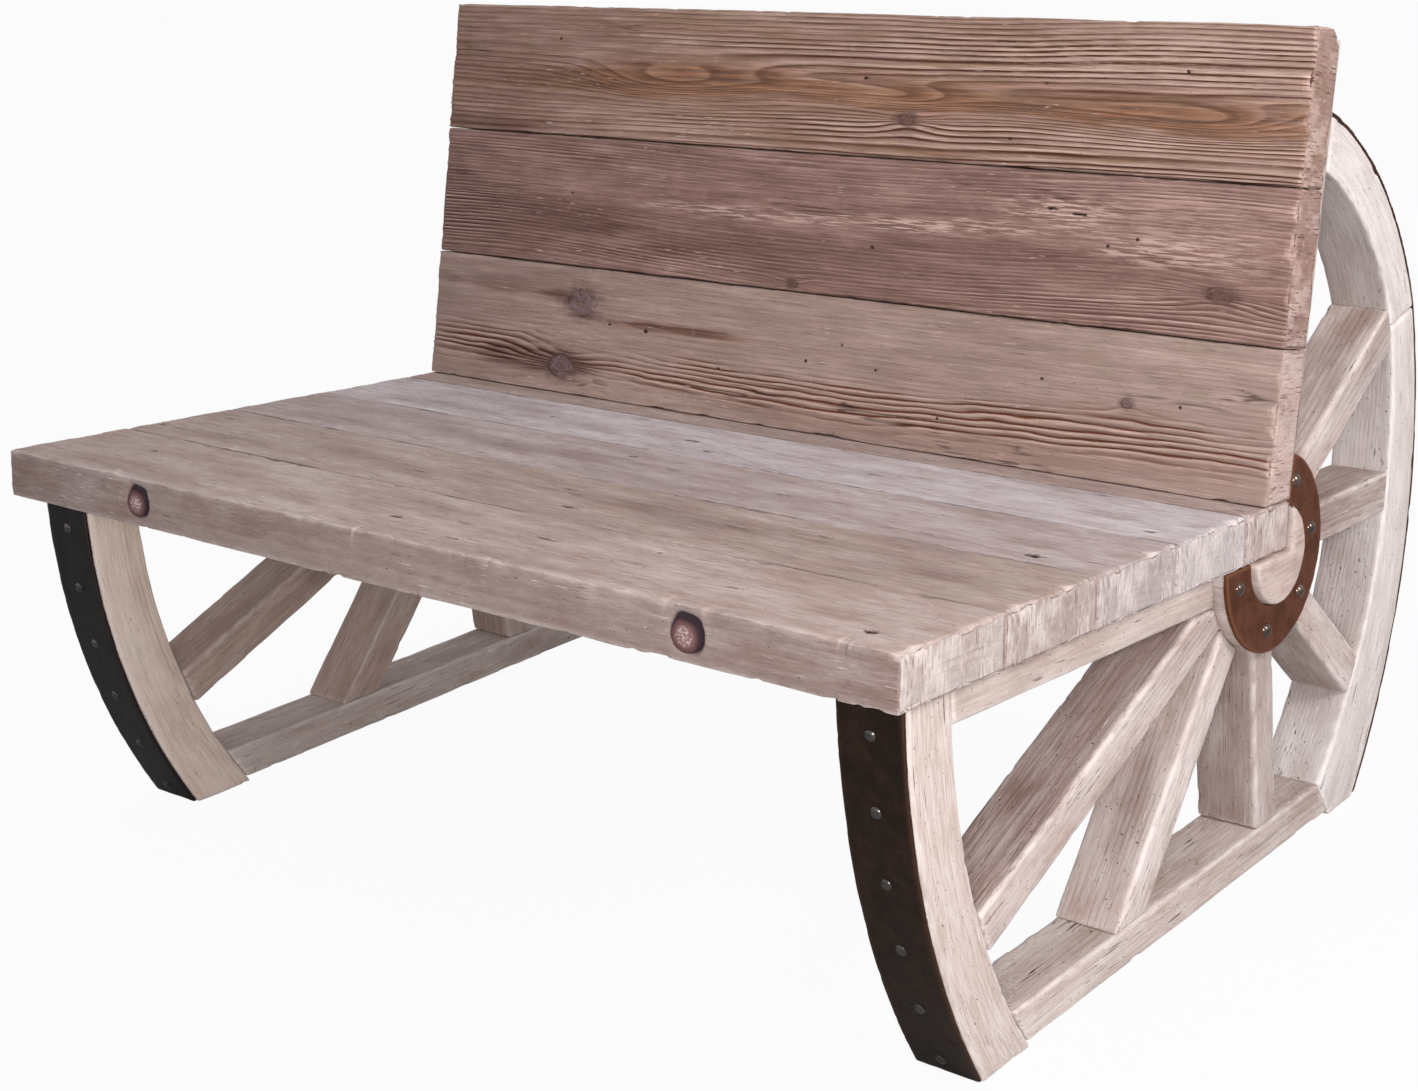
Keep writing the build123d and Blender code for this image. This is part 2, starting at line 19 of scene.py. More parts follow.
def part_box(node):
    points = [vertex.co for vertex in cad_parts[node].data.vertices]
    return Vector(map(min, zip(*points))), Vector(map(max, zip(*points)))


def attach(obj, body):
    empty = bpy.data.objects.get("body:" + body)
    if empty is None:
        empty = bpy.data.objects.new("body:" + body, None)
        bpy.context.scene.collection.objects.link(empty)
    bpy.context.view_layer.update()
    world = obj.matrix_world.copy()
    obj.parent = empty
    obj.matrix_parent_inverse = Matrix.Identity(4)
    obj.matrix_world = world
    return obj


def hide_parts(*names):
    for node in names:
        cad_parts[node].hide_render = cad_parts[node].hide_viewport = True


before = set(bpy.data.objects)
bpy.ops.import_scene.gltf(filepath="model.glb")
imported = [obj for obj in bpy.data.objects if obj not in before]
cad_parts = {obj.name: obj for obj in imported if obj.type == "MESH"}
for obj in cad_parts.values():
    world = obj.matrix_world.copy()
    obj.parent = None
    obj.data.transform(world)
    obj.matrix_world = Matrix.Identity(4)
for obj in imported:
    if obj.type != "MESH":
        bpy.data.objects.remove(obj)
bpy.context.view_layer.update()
MM = 0.001
print("CAD nodes:", len(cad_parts))

# %% [markdown]
# ## Where things are
# The seat falls towards the back, and the back leans away from it. Two small functions turn a place
# on the seat or on the back into the bench's own Y and Z. The axle is read from the hub's own box,
# because the hub's sides and its underside are whole.

# %% Lay out the bench
bench_length = 1220.0
plank_thickness = 53.0
plank_gap = 0.8
seat_slope = radians(3.67)
back_recline = radians(11.2)
seat_height = 412.2
back_foot = 25.5
back_plank_height = 162.2
seat_plank_widths = (157.0, 152.0, 147.0, 142.0, 94.6)

hub_low, hub_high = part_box("hub_right")
axle_y = (hub_low.y + hub_high.y) / 2 / MM
hub_radius = (hub_high.y - hub_low.y) / 2 / MM
axle_z = hub_low.z / MM + hub_radius


def seat_point(along, above):
    """Y and Z of a point given along the seat behind the axle, and square above its top."""
    y = along * cos(seat_slope) + above * sin(seat_slope)
    return axle_y + y, seat_height - along * sin(seat_slope) + above * cos(seat_slope)


def back_point(up, deep):
    """Y and Z of a point given up the back's front face, and square behind it."""
    y, z = seat_point(-back_foot, 0)
    y += up * sin(back_recline) + deep * cos(back_recline)
    return y, z + up * cos(back_recline) - deep * sin(back_recline)


lean = back_recline - seat_slope
seat_rear = plank_thickness / cos(lean) - back_foot
seat_front = seat_rear - sum(seat_plank_widths)
print(f"axle at Y {axle_y:.1f}, Z {axle_z:.1f} mm; seat front {seat_front:.1f}")

# %% [markdown]
# ## The camera
# The eye stands in front of the right end, a little above the seat, turned towards the middle.
# A slight roll and a small lens shift place the bench in the picture.

# %% Make the camera
eye = Vector((1631.3, -1936.1, 1092.4)) * MM
eye_azimuth = radians(38.54)
eye_elevation = radians(14.48)
eye_roll = radians(-1.95)
sensor = 36.0
picture_width = 1418.0
picture_height = 1091.0
focal_pixels = 2312.7
centre_across = 790.2
centre_down = 429.8

lens = bpy.data.cameras.new("camera")
lens.sensor_width = sensor
lens.lens = focal_pixels / picture_width * sensor
lens.shift_x = (picture_width / 2 - centre_across) / picture_width
lens.shift_y = (centre_down - picture_height / 2) / picture_width
camera = bpy.data.objects.new("camera", lens)
turn = Matrix.Rotation(eye_azimuth, 4, "Z") @ Matrix.Rotation(pi / 2 - eye_elevation, 4, "X")
camera.matrix_world = Matrix.Translation(eye) @ turn @ Matrix.Rotation(eye_roll, 4, "Z")
bpy.context.scene.collection.objects.link(camera)
bpy.context.scene.camera = camera
print(f"lens {lens.lens:.1f} mm, shift {lens.shift_x:.3f}, {lens.shift_y:.3f}")

# %% [markdown]
# ## Noise that meshes can use
# Wood is never even. The meshes need the same kind of noise that shaders have, so this is a small
# lattice noise: a fixed random number at each corner of a grid, eased between the corners.


# %% Noise for meshes
def stack(*columns):
    """An n by 3 array from three columns; a plain number fills its whole column."""
    return np.stack(np.broadcast_arrays(*columns), axis=1)


def lattice_noise(points, seed):
    """Smooth noise from -1 to 1 at an n by 3 array of points, one grid cell per unit."""
    cell = np.floor(points).astype(np.int64)
    part = points - cell
    ease = part * part * (3 - 2 * part)
    total = np.zeros(len(points))
    for corner in range(8):
        step = np.array([corner & 1, corner >> 1 & 1, corner >> 2 & 1])
        at = cell + step
        mixed = at[:, 0] * 73856093 ^ at[:, 1] * 19349663 ^ at[:, 2] * 83492791 ^ seed * 2654435
        mixed = (mixed ^ mixed >> 13) * 1274126177 & 0xFFFFFFFF
        value = (mixed ^ mixed >> 16 & 0xFFFF) & 0xFFFF
        share = np.prod(np.where(step, ease, 1 - ease), axis=1)
        total += share * (value / 32767.5 - 1)
    return total


def fractal_noise(points, seed, octaves=3):
    """Lattice noise with finer and fainter copies of itself added."""
    total = np.zeros(len(points))
    for octave in range(octaves):
        total += lattice_noise(points * 2**octave, seed + octave) * 0.5**octave
    return total


def smooth_step(low, high, value):
    """0 below low, 1 above high, and an even curve between."""
    part = np.clip((value - low) / (high - low), 0, 1)
    return part * part * (3 - 2 * part)


print("noise at three places:", lattice_noise(stack(np.array([0.5, 1.5, 2.5]), 0, 0), 1).round(2))

# %% [markdown]
# ## How timber is described
# A board is cut from a trunk of nested cones, so its grain is one number at every point: how many
# growth rings lie between that point and the pith. Where this number is whole, a dark late-wood line
# shows, on the faces as lines and on the ends as arcs. A knot pushes the rings aside. The number is
# stored on the mesh as the attribute `ring`, and the material draws the lines from it, so that
# colour, relief and end grain agree. Other attributes say where knots, holes, cracks, stains, wear
# and end grain are, and where shade and highlights are painted into the colour.


# %% Growth rings
class Timber:
    """How one piece of wood grew: pith place, ring width, wander, knots and marks, in mm.

    A mark has its place along and across, its size both ways, and for stains, bands and smears a
    strength. vigour says how strongly the rings show, and bands add to it or take from it in places.
    A smear darkens the wood, or bleaches it where its strength is below 0; most stand for dirt, but the
    broad ones over a plank's left end are painted shade. A front-edge setting darkens a plank's open
    front edge as painted shade, or tones a whole wheel piece, and a side-shade setting paints shade on
    a wheel piece's faces between the spokes.
    """

    usual = {"waves": 0.5, "knots": (), "edge_knots": (), "holes": (), "stains": (), "bands": (),
             "smears": (), "vigour": 0.5, "front_smear": 0, "soot": 0, "cracks": 0, "relief": 0.3,
             "wear": 2.0, "chips": (), "end_chips": 3}

    def __init__(self, seed, pith, ring, wander, **marks):
        self.seed = seed
        self.pith = pith
        self.ring = ring
        self.wander = wander
        for name, value in {**self.usual, **marks}.items():
            setattr(self, name, value)


knot_reach = 6.0  # knot radii, past which a knot is not felt


def knot_distance(timber, knots, along, across):
    """Distance to the nearest knot, as a share of that knot's radius; its outline is uneven."""
    nearest = np.full(len(along), knot_reach)
    for x, v, radius, stretch in knots:
        u = (along - x) / (radius * stretch)
        w = (across - v) / radius
        uneven = fractal_noise(stack(u * 1.1, w * 1.1, 0), timber.seed + 17)
        nearest = np.minimum(nearest, np.hypot(u, w) * (1 + 0.12 * uneven))
    return nearest


def knot_push(knots, along, across):
    """How far knots push the rings aside, in mm."""
    push = np.zeros(len(along))
    for x, v, radius, stretch in knots:
        u = (along - x) / (radius * 3.0 * stretch)
        w = (across - v) / radius
        push += radius * 1.3 * np.exp(-(u**2) - (w / 2.6) ** 2) * np.tanh(w / 0.6)
    return push


def lens_push(stains, along, across):
    """How far the rings bulge at a flat-sawn lens, enough to close them into long eyes."""
    push = np.zeros(len(along))
    for x, v, length, width, strength in stains:
        if strength > 0.6:
            u = (along - x) / (length * 0.42)
            w = (across - v) / (width * 0.55)
            push += width * 0.8 * np.exp(-(u**2) - w**2)
    return push


def ring_number(timber, along, across, deep):
    """Number of growth rings from the pith, at points along, across and deep in the wood."""
    slow = stack(along / 520, across / 400, deep / 300)
    medium = stack(along / 230, across / 60, deep / 60)
    quick = stack(along / 90, across / 20, deep / 20)
    shift = lattice_noise(slow, timber.seed) * timber.wander * 2.2
    shift += lattice_noise(medium, timber.seed + 4) * timber.wander * 0.4
    shift += fractal_noise(quick, timber.seed + 7) * timber.waves
    shift += knot_push(timber.knots, along, across) + lens_push(timber.stains, along, across)
    shift += knot_push(timber.edge_knots, along, deep) * np.exp(-((across / 25) ** 2))
    even = np.hypot(across + shift - timber.pith[0], deep - timber.pith[1]) / timber.ring
    return even + 0.5 * lattice_noise(stack(even / 2.5, 0, 0), timber.seed)


def late_wood(ring):
    """Height of the hard late wood above the soft early wood, from 0 to 1."""
    part = ring - np.floor(ring)
    return smooth_step(0.05, 0.62, part) * (1 - smooth_step(0.80, 1.0, part))


print("late wood at 0.7 of a ring:", round(float(late_wood(np.array([0.7]))[0]), 2))


# %% Marks on the wood
def hole_mask(timber, along, across):
    """1 inside nail holes and short gouges, 0 outside."""
    mask = np.zeros(len(along))
    ragged = 0.4 * lattice_noise(stack(along / 4, across / 1.5, 0), timber.seed + 19)
    for x, v, length, width in timber.holes:
        away = np.hypot((along - x) / (length / 2), (across - v) / (width / 2)) + ragged
        mask = np.maximum(mask, 1 - smooth_step(0.7, 1.15, away))
    return mask


def patch_mask(timber, patches, along, across, softness):
    """Sum of patches with ragged ends, each fading from its strength in the middle."""
    mask = np.zeros(len(along))
    ragged = 0.25 * fractal_noise(stack(along / 70, across / 8, 0), timber.seed + 3)
    for x, v, length, width, strength in patches:
        away = np.hypot((along - x) / (length / 2), (across - v) / (width / 2)) + ragged
        mask += (1 - smooth_step(1 - softness, 1 + softness * 0.4, away)) * strength
    return mask


def stain_mask(timber, along, across):
    """1 in the middle of a stained lens, fading out along the grain."""
    return np.clip(patch_mask(timber, timber.stains, along, across, 0.3), 0, 1)


def vigour_mask(timber, along, across):
    """How strongly the rings show at each point; stained lenses are smooth."""
    vigour = timber.vigour + patch_mask(timber, timber.bands, along, across, 0.9)
    return np.clip(vigour, 0.02, 1.8) * (1 - 0.5 * stain_mask(timber, along, across))


def crack_mask(timber, along, across, deep):
    """1 in drying cracks, which follow the grain, 0 elsewhere."""
    if not timber.cracks:
        return np.zeros(len(along))
    lanes = stack(along / 130, across / 3.2, deep / 60)
    ridge = 1 - np.abs(lattice_noise(lanes, timber.seed + 11)) * 9
    chosen = lattice_noise(stack(along / 260, across / 34, deep / 90), timber.seed + 13)
    return smooth_step(0.0, 1.0, ridge) * smooth_step(0.62 - timber.cracks, 0.86, chosen)


one_hole = Timber(1, (0, 50), 4.0, 0, holes=((0, 0, 10, 10),))
print("hole at its middle:", hole_mask(one_hole, np.zeros(1), np.zeros(1)).round(2))

# %% [markdown]
# ## Putting numbers on a mesh
# Attributes are plain lists of one number per vertex. A material reads them by name.


# %% Meshes and attributes
def mesh_object(name, points, faces):
    """New mesh object from points in mm and faces, placed in its mesh."""
    mesh = bpy.data.meshes.new(name)
    mesh.from_pydata([tuple(p) for p in np.asarray(points) * MM], [], faces)
    mesh.update()
    piece = bpy.data.objects.new(name, mesh)
    bpy.context.scene.collection.objects.link(piece)
    return piece


def store(piece, **layers):
    """Keep one number, or one vector, per vertex under each name."""
    for name, values in layers.items():
        values = np.asarray(values, dtype=np.float32)
        kind, field = ("FLOAT", "value") if values.ndim == 1 else ("FLOAT_VECTOR", "vector")
        layer = piece.data.attributes.new(name, kind, "POINT")
        layer.data.foreach_set(field, values.ravel())


def read_points(mesh):
    """All vertex places of a mesh, in mm."""
    flat = np.empty(len(mesh.vertices) * 3)
    mesh.vertices.foreach_get("co", flat)
    return flat.reshape(-1, 3) / MM


def read_normals(mesh):
    """All vertex normals of a mesh."""
    flat = np.empty(len(mesh.vertices) * 3)
    mesh.vertex_normals.foreach_get("vector", flat)
    return flat.reshape(-1, 3)


def write_points(mesh, points):
    """Set all vertex places of a mesh, given in mm."""
    mesh.vertices.foreach_set("co", (points * MM).ravel())
    mesh.update()


def hand_over(piece, node):
    """Shade a finished piece smoothly, fix it to the bench, and let it replace its node."""
    faces = piece.data.polygons
    faces.foreach_set("use_smooth", [True] * len(faces))
    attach(piece, "root")
    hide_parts(node)
    print(piece.name, len(faces), "faces")


def dress(piece, material):
    """Give a piece one material."""
    piece.data.materials.clear()
    piece.data.materials.append(material)


print("pieces are fixed to the body root")

# %% [markdown]
# ## A plank
# A remeshed block would lose the fine ridges, so a plank is laid out: one loop of points
# round its section, fine on the face that is looked at and coarse where it is hidden, repeated at
# stations along the length. The stations crowd together where there is a knot or a nail hole. Each
# end is closed by loops that step inwards, so that the end grain has points too.

# %% Points and faces of a plank
station_step = 7.0
least_gap = 0.45
end_stations = (0.6, 1.4, 2.4, 3.6, 5.0)
cap_insets = (2.0, 4.5, 8.0, 12.0, 17.0, 23.0)


def spread(length, step):
    """Even steps from 0 up to, but not including, a length."""
    count = max(2, round(length / step))
    return np.arange(count) * (length / count)


def section_loop(width, face_step, edge_steps, rear_step):
    """Closed loop of (across, deep) round a plank's section: face, edge, rear, edge."""
    thickness = plank_thickness
    loop = [(run, 0) for run in spread(width, face_step)]
    loop += [(width, run) for run in spread(thickness, edge_steps[1])]
    loop += [(width - run, thickness) for run in spread(width, rear_step)]
    loop += [(0, thickness - run) for run in spread(thickness, edge_steps[0])]
    return np.array(loop)


def stations(timber):
    """Places along a plank from its middle, closer together at its ends, knots and holes."""
    half = bench_length / 2
    places = set(np.linspace(-half, half, round(bench_length / station_step) + 1))
    for away in end_stations:
        places.update((away - half, half - away))
    for x, _, radius, stretch in timber.knots + timber.edge_knots:
        reach = radius * stretch * 1.3
        places.update(np.arange(x - reach, x + reach, 2.0))
    for x, _, long, _ in timber.holes:
        reach = long / 2 + 1.5
        places.update(np.arange(x - reach, x + reach, 1.0))
    kept = []
    for place in sorted(p for p in places if -half <= p <= half):
        if not kept or place - kept[-1] > least_gap:
            kept.append(place)
    kept[-1] = half
    return np.array(kept)


def plank_grid(timber, width, steps):
    """Points along, across and deep over a plank's outside, 1 where on an end cap, and faces."""
    loop = section_loop(width, *steps)
    along = stations(timber)
    around, rows, caps = len(loop), len(along), len(cap_insets)
    grid_x = [np.repeat(along, around)]
    grid_v = [np.tile(loop[:, 0], rows)]
    grid_w = [np.tile(loop[:, 1], rows)]
    for end in (-1, 1):
        for inset in cap_insets:
            grid_x.append(np.full(around, end * bench_length / 2))
            grid_v.append(np.clip(loop[:, 0], inset, width - inset))
            grid_w.append(np.clip(loop[:, 1], inset, plank_thickness - inset))
    left = [0, *range(rows, rows + caps)]
    right = [rows - 1, *range(rows + caps, rows + 2 * caps)]
    row_pairs = [(row, row + 1) for row in range(rows - 1)]
    row_pairs += [*zip(left[1:], left), *zip(right, right[1:])]
    faces = [
        (a * around + i, a * around + j, b * around + j, b * around + i)
        for a, b in row_pairs
        for i, j in zip(range(around), [*range(1, around), 0])
    ]
    faces.append(tuple(left[-1] * around + i for i in range(around)))
    faces.append(tuple(right[-1] * around + i for i in reversed(range(around))))
    on_end = np.repeat([0.0, 1.0], [rows * around, 2 * caps * around])
    return np.concatenate(grid_x), np.concatenate(grid_v), np.concatenate(grid_w), on_end, faces


print("loop round a 100 mm plank:", len(section_loop(100.0, 1.25, (4.0, 4.0), 6.0)), "points")

# %% [markdown]
# ## Wear on a plank
# Every point of the plank is pushed inwards: by its place between two ridges, by wear near an edge,
# and by cracks and holes. Chips are broken off last, square to the corner that each one is on.


# %% Chips and rounded ends
def chip_cut(points, chip, size):
    """Points with one chip broken off a corner or an arris, and how much each one lost.

    A chip is a place on the outside, its depth, and how far it reaches. It breaks square to the
    corner that it is on, and runs out to nothing at its reach.
    """
    place = np.array(chip[:3])
    depth, reach = chip[3:]
    outward = np.where(place >= size[1] - 0.5, 1.0, np.where(place <= size[0] + 0.5, -1.0, 0.0))
    outward /= np.linalg.norm(outward)
    away = points - place
    rise = away @ outward
    aside = np.linalg.norm(away - rise[:, None] * outward, axis=1)
    ragged = lattice_noise(points / 5.0, 77) * 0.25
    lost = np.maximum(rise + depth * (1 - (aside / reach) ** 2 + ragged), 0)
    lost = np.where(aside < reach * 1.2, np.minimum(lost, depth * 1.3), 0)
    return points - outward * lost[:, None], lost


def break_chips(points, timber, width):
    """Points with the timber's own chips and some chance ones at its right end, and the loss."""
    half = bench_length / 2
    size = np.array([[-half, 0, 0], [half, width, plank_thickness]])
    chance = np.random.default_rng(timber.seed)
    chips = list(timber.chips)
    for _ in range(timber.end_chips):
        chips.append((half, chance.uniform(5, width - 5), 0.0, chance.uniform(4.5, 8.5),
                      chance.uniform(8, 24)))
    chipped = np.zeros(len(points))
    for chip in chips:
        points, lost = chip_cut(points, chip, size)
        chipped = np.maximum(chipped, lost)
    return points, chipped


def end_round(away, radius):
    """How far a face draws in at a distance from the plank's end."""
    inside = np.clip(radius - away, 0, radius)
    return radius - np.sqrt(radius**2 - inside**2)


print("a 4 mm round, 1 mm from the end, draws in", end_round(np.array([1.0]), 4.0).round(2))


# %% What the wood shows at each point
def plank_marks(timber, x, v, w, on_end, front_open):
    """Layers of a plank under the names that its material reads."""
    knot = np.where(w > 30, knot_reach, knot_distance(timber, timber.knots, x, v))
    socket = knot_distance(timber, timber.edge_knots, x, w)
    socket = np.where((v < 2) & (on_end == 0), socket, knot_reach)
    # A plug has shrunk to one side of its socket.
    plugs = [(at - radius * 0.12, down + radius * 0.16, radius * 0.8, stretch)
             for at, down, radius, stretch in timber.edge_knots]
    plug = np.where(socket < knot_reach, knot_distance(timber, plugs, x, w), knot_reach)
    # Patches stand for dirt, or bleaching below 0; the broad ones over a plank's left end are painted shade.
    smear = np.clip(patch_mask(timber, timber.smears, x, v, 0.8), -1, 1)
    # A plank's open front edge is darkened as painted shade, more towards its ends.
    front_smear = timber.front_smear * (0.6 + 1.6 * (x / bench_length) ** 2)
    smear = np.where((v < 1) & front_open, front_smear, smear) * (1 - on_end)
    ring = ring_number(timber, x, v, w)
    # Where the rings lie flat in the face they spread out, and no sharp line shows.
    crowded = np.abs(ring_number(timber, x, v + 1.0, w) - ring) * timber.ring
    shown = np.where((w <= 0) & (on_end == 0), 0.12 + 0.88 * smooth_step(0.10, 0.50, crowded), 1.0)
    return {
        "ring": ring, "knot": knot, "socket": socket, "plug": plug, "smear": smear, "end": on_end,
        "hole": np.where(w < 2, hole_mask(timber, x, v), 0),
        "crack": crack_mask(timber, x, v, w) * (1 - on_end),
        "stain": stain_mask(timber, x, v), "vigour": vigour_mask(timber, x, v) * shown,
    }


def relief_sink(timber, x, v, w, marks):
    """How far each point sinks between the ridges, and into holes, cracks and knots."""
    in_knot = 1 - smooth_step(0.9, 1.25, marks["knot"])
    ridge = late_wood(marks["ring"]) * (1 - in_knot) + in_knot * 0.8
    swell = fractal_noise(stack(x / 160, v / 34, w / 30), timber.seed + 31)
    strength = lattice_noise(stack(x / 190, v / 26, w / 30), timber.seed + 33)
    sink = timber.relief * np.minimum(marks["vigour"], 1.1) * (1 - ridge)
    sink *= np.clip(0.8 + 0.5 * strength, 0.1, 1.3)
    sink += 0.25 + 0.3 * (swell + 1) / 2 + marks["hole"] * 1.8 + marks["crack"] * 1.5
    sink += np.exp(-(((marks["knot"] - 1.0) / 0.2) ** 2)) * 0.5
    # The gap between a plug and its socket, and the plug's domed face.
    plug = marks["plug"]
    sink += (1 - smooth_step(0.92, 1.08, marks["socket"])) * smooth_step(0.9, 1.05, plug) * 3.5
    return sink + (1 - smooth_step(0.0, 1.0, plug)) * -1.2


print("relief is cut for rings, knots, holes and cracks")


# %% Make one plank
def plank(name, node, timber, place, width, joints, bevel=0.0, steps=(1.25, (4.0, 4.0), 6.0)):
    """One weathered plank that replaces a CAD node.

    place(across, deep) gives Y and Z; across runs over the face, deep runs into the wood. joints says
    whether another plank stands against the low and the high side.
    """
    x, v, w, on_end, faces = plank_grid(timber, width, steps)
    marks = plank_marks(timber, x, v, w, on_end, not joints[0])

    # Distance to the nearest long arris, and how worn it is there.
    half_thick = plank_thickness / 2
    near_v = np.minimum(v, width - v)
    near_w = np.minimum(w, plank_thickness - w)
    near_side = np.minimum(near_v, near_w)
    arris = np.hypot(near_v, near_w)
    end_away = bench_length / 2 - np.abs(x)
    low_side = v < width / 2
    in_joint = np.where(low_side, joints[0], joints[1])
    arris_id = np.where(low_side, 0.0, 40.0) + np.where(w < half_thick, 0, 90.0)
    wear_noise = fractal_noise(stack(x / 60, arris_id, 0), timber.seed + 21)
    nicks = smooth_step(0.55, 0.95, fractal_noise(stack(x / 16, arris_id, 0), timber.seed + 23))
    worn = timber.wear * (0.8 + 0.35 * wear_noise + 1.6 * nicks) * np.where(in_joint, 0.6, 1.0)
    worn = np.clip(worn * np.where(w < half_thick, 1.0, 0.5), 0.5, 5.5)
    corner_noise = fractal_noise(stack(v / 19, w / 26, np.sign(x)), timber.seed + 27)
    push = relief_sink(timber, x, v, w, marks)
    push = np.where((w > 1) & (w < plank_thickness - 1) & in_joint, 0.05, push)
    push += worn * np.exp(-arris / (worn * 1.1 + 0.6))
    push += end_round(end_away, 3.5 + 2.5 * np.maximum(corner_noise, -0.6)) * (1 - on_end)

    # Inward directions in the section, blended near the arrises.
    on_face = (w <= 0) | (w >= plank_thickness)
    corner = np.exp(-arris / 2.5)
    inward_v = np.sign(width / 2 - v)
    inward_w = np.sign(half_thick - w)
    diagonal = 0.7071
    in_v = np.where(on_face, 0, inward_v) * (1 - corner) + inward_v * diagonal * corner
    in_w = np.where(on_face, inward_w, 0) * (1 - corner) + inward_w * diagonal * corner
    moved_v = v + np.where(on_end > 0, 0, in_v) * push
    moved_w = w + np.where(on_end > 0, 0, in_w) * push

    # The ends are pulled in by the saw's rows, and faces end a little short to meet the caps.
    saw_cut = np.abs(lattice_noise(stack(v / 2.6, w / 40, x), timber.seed + 41))
    cap_edge = end_round(near_side, 4.0 + 3.0 * np.clip(corner_noise, 0, 1))
    cap_pull = 0.5 + 0.4 * saw_cut + 0.9 * np.maximum(corner_noise, 0) + cap_edge * 0.6
    pull = np.where(on_end > 0, cap_pull, np.where(end_away < 0.3, 1.8, 0))
    soft = (1 - smooth_step(0, 7, end_away)) * (1 - late_wood(marks["ring"]))
    pull += (1 - on_end) * soft * 1.3 * marks["vigour"]
    moved = np.column_stack([x - np.sign(x) * pull, moved_v, moved_w])
    moved, chipped = break_chips(moved, timber, width)

    moved_x, moved_v, moved_w = moved.T
    moved_v = moved_v + bevel * (moved_w / plank_thickness) * (1 - moved_v / width)
    y, z = place(moved_v, moved_w)
    piece = mesh_object(name, np.stack([moved_x, y, z], axis=1), faces)

    # A dark line where two planks meet, and pale arrises: worn wood, and partly a painted highlight.
    joint_line = in_joint * (w < 2) * (1 - on_end) * (1 - smooth_step(0.4, 1.7, near_v))
    joint_line = joint_line * np.clip(0.45 + 0.6 * wear_noise, 0, 0.8)
    marks["crack"] = np.maximum(marks["crack"], joint_line)
    edge = np.exp(-arris / 3.0) * (1 - on_end) + 0.4 * on_end * np.exp(-near_side / 3)
    edge = np.maximum(edge * np.where(in_joint, 0.2, 1.0), np.clip(chipped / 3, 0, 0.65))
    store(piece, **marks, edge=edge, grain=stack(x, v, w) * MM)
    outside = bmesh.new()
    outside.from_mesh(piece.data)
    bmesh.ops.recalc_face_normals(outside, faces=outside.faces)
    outside.to_mesh(piece.data)
    outside.free()
    hand_over(piece, node)
    return piece


print("planks are", bench_length, "mm long and", plank_thickness, "mm thick")

# %% [markdown]
# ## Colours and nodes
# Colours are written as they look on a screen, and one function turns them linear. One more function
# adds any node: it sets what is named, links a socket wherever a socket is given as a value, and fills
# the stops of a colour ramp. What is added again and again has a short word of its own in a table.


# %% Helpers for materials
def linear(code):
    """Linear colour from an sRGB hex value."""
    parts = [int(code[i : i + 2], 16) / 255 for i in (1, 3, 5)]
    return (*(p / 12.92 if p <= 0.04045 else ((p + 0.055) / 1.055) ** 2.4 for p in parts), 1.0)


node_words = {  # word: Blender's name, settings, the inputs filled in turn, and the output wanted
    "blend": ("ShaderNodeMix", {"data_type": "RGBA"}, (0, 6, 7), 2),
    "tint": ("ShaderNodeMix", {"data_type": "RGBA", "blend_type": "MULTIPLY"}, (0, 6, 7), 2),
    "ramp": ("ShaderNodeValToRGB", {}, (0,), "Color"),
    "stored": ("ShaderNodeAttribute", {}, (), "Fac"),
    "noise": ("ShaderNodeTexNoise", {}, ("Vector", "Scale", "Detail", "Roughness"), "Fac"),
    "bumps": ("ShaderNodeBump", {}, ("Height", "Strength", "Distance"), "Normal"),
    "surface": ("ShaderNodeOutputMaterial", {}, ("Surface",), None),
}
for word, operation in (("times", "MULTIPLY"), ("plus", "ADD"), ("less", "SUBTRACT"), ("over", "DIVIDE"),
                        ("most", "MAXIMUM"), ("fraction", "FRACT"), ("whole", "FLOOR")):
    node_words[word] = ("ShaderNodeMath", {"operation": operation}, (0, 1), 0)


def add_node(tree, kind, *values, inputs=None, stops=(), **settings):
    """Add a node with its settings, its values or links, and the stops of a ramp.

    kind is a word of the table, which gives the output that is wanted, or Blender's own name, which
    gives the node. A hex value stands for its colour, and a ramp's number for a grey.
    """
    name, usual, sockets, wanted = node_words.get(kind, (kind, {}, (), None))
    node = tree.nodes.new(name)
    for setting, value in {**usual, **settings}.items():
        setattr(node, setting, value)
    for socket, value in {**dict(zip(sockets, values)), **(inputs or {})}.items():
        if isinstance(value, bpy.types.NodeSocket):
            tree.links.new(value, node.inputs[socket])
        else:
            hex_code = isinstance(value, str) and value.startswith("#")
            node.inputs[socket].default_value = linear(value) if hex_code else value
    if stops:
        elements = node.color_ramp.elements
        while len(elements) < len(stops):
            elements.new(0.5)
        for element, (place, tone) in zip(elements, stops):
            element.position = place
            element.color = linear(tone) if isinstance(tone, str) else (tone, tone, tone, 1)
    return node if wanted is None else node.outputs[wanted]


def new_material(name):
    """Empty node material, and the function that adds nodes to it."""
    material = bpy.data.materials.new(name)
    material.use_nodes = True
    material.node_tree.nodes.clear()
    return material, partial(add_node, material.node_tree)


print("linear mid grey:", [round(c, 3) for c in linear("#808080")])

# %% [markdown]
# ## Weathered softwood
# Planks left outside for years lose the soft early wood between the rings, turn grey on top, and keep
# the brown of the pine deeper down. The colour is built up as the eye reads it. First come slow
# patches from a deep tone to a pale one, with fibres of three widths drawn out along the grain. The
# finest fibres are drawn about two millimetres wide, which is coarser than real ones, because finer
# ones would not show.

# %% Patterns that follow the grain
usual_look = {
    "lines": 0.6, "fibres": 0.6, "pits": 0.4, "bump": 0.5, "mottle": 0.0, "patch": (45.0, 8.0),
    "drawn": 1.0, "worn_share": 0.6, "plugs": False, "bright": "#d8cac4", "stain": "#885c42",
    "warm": "#a98674", "crest": "#c8b6ad", "knot": "#76605f",
}


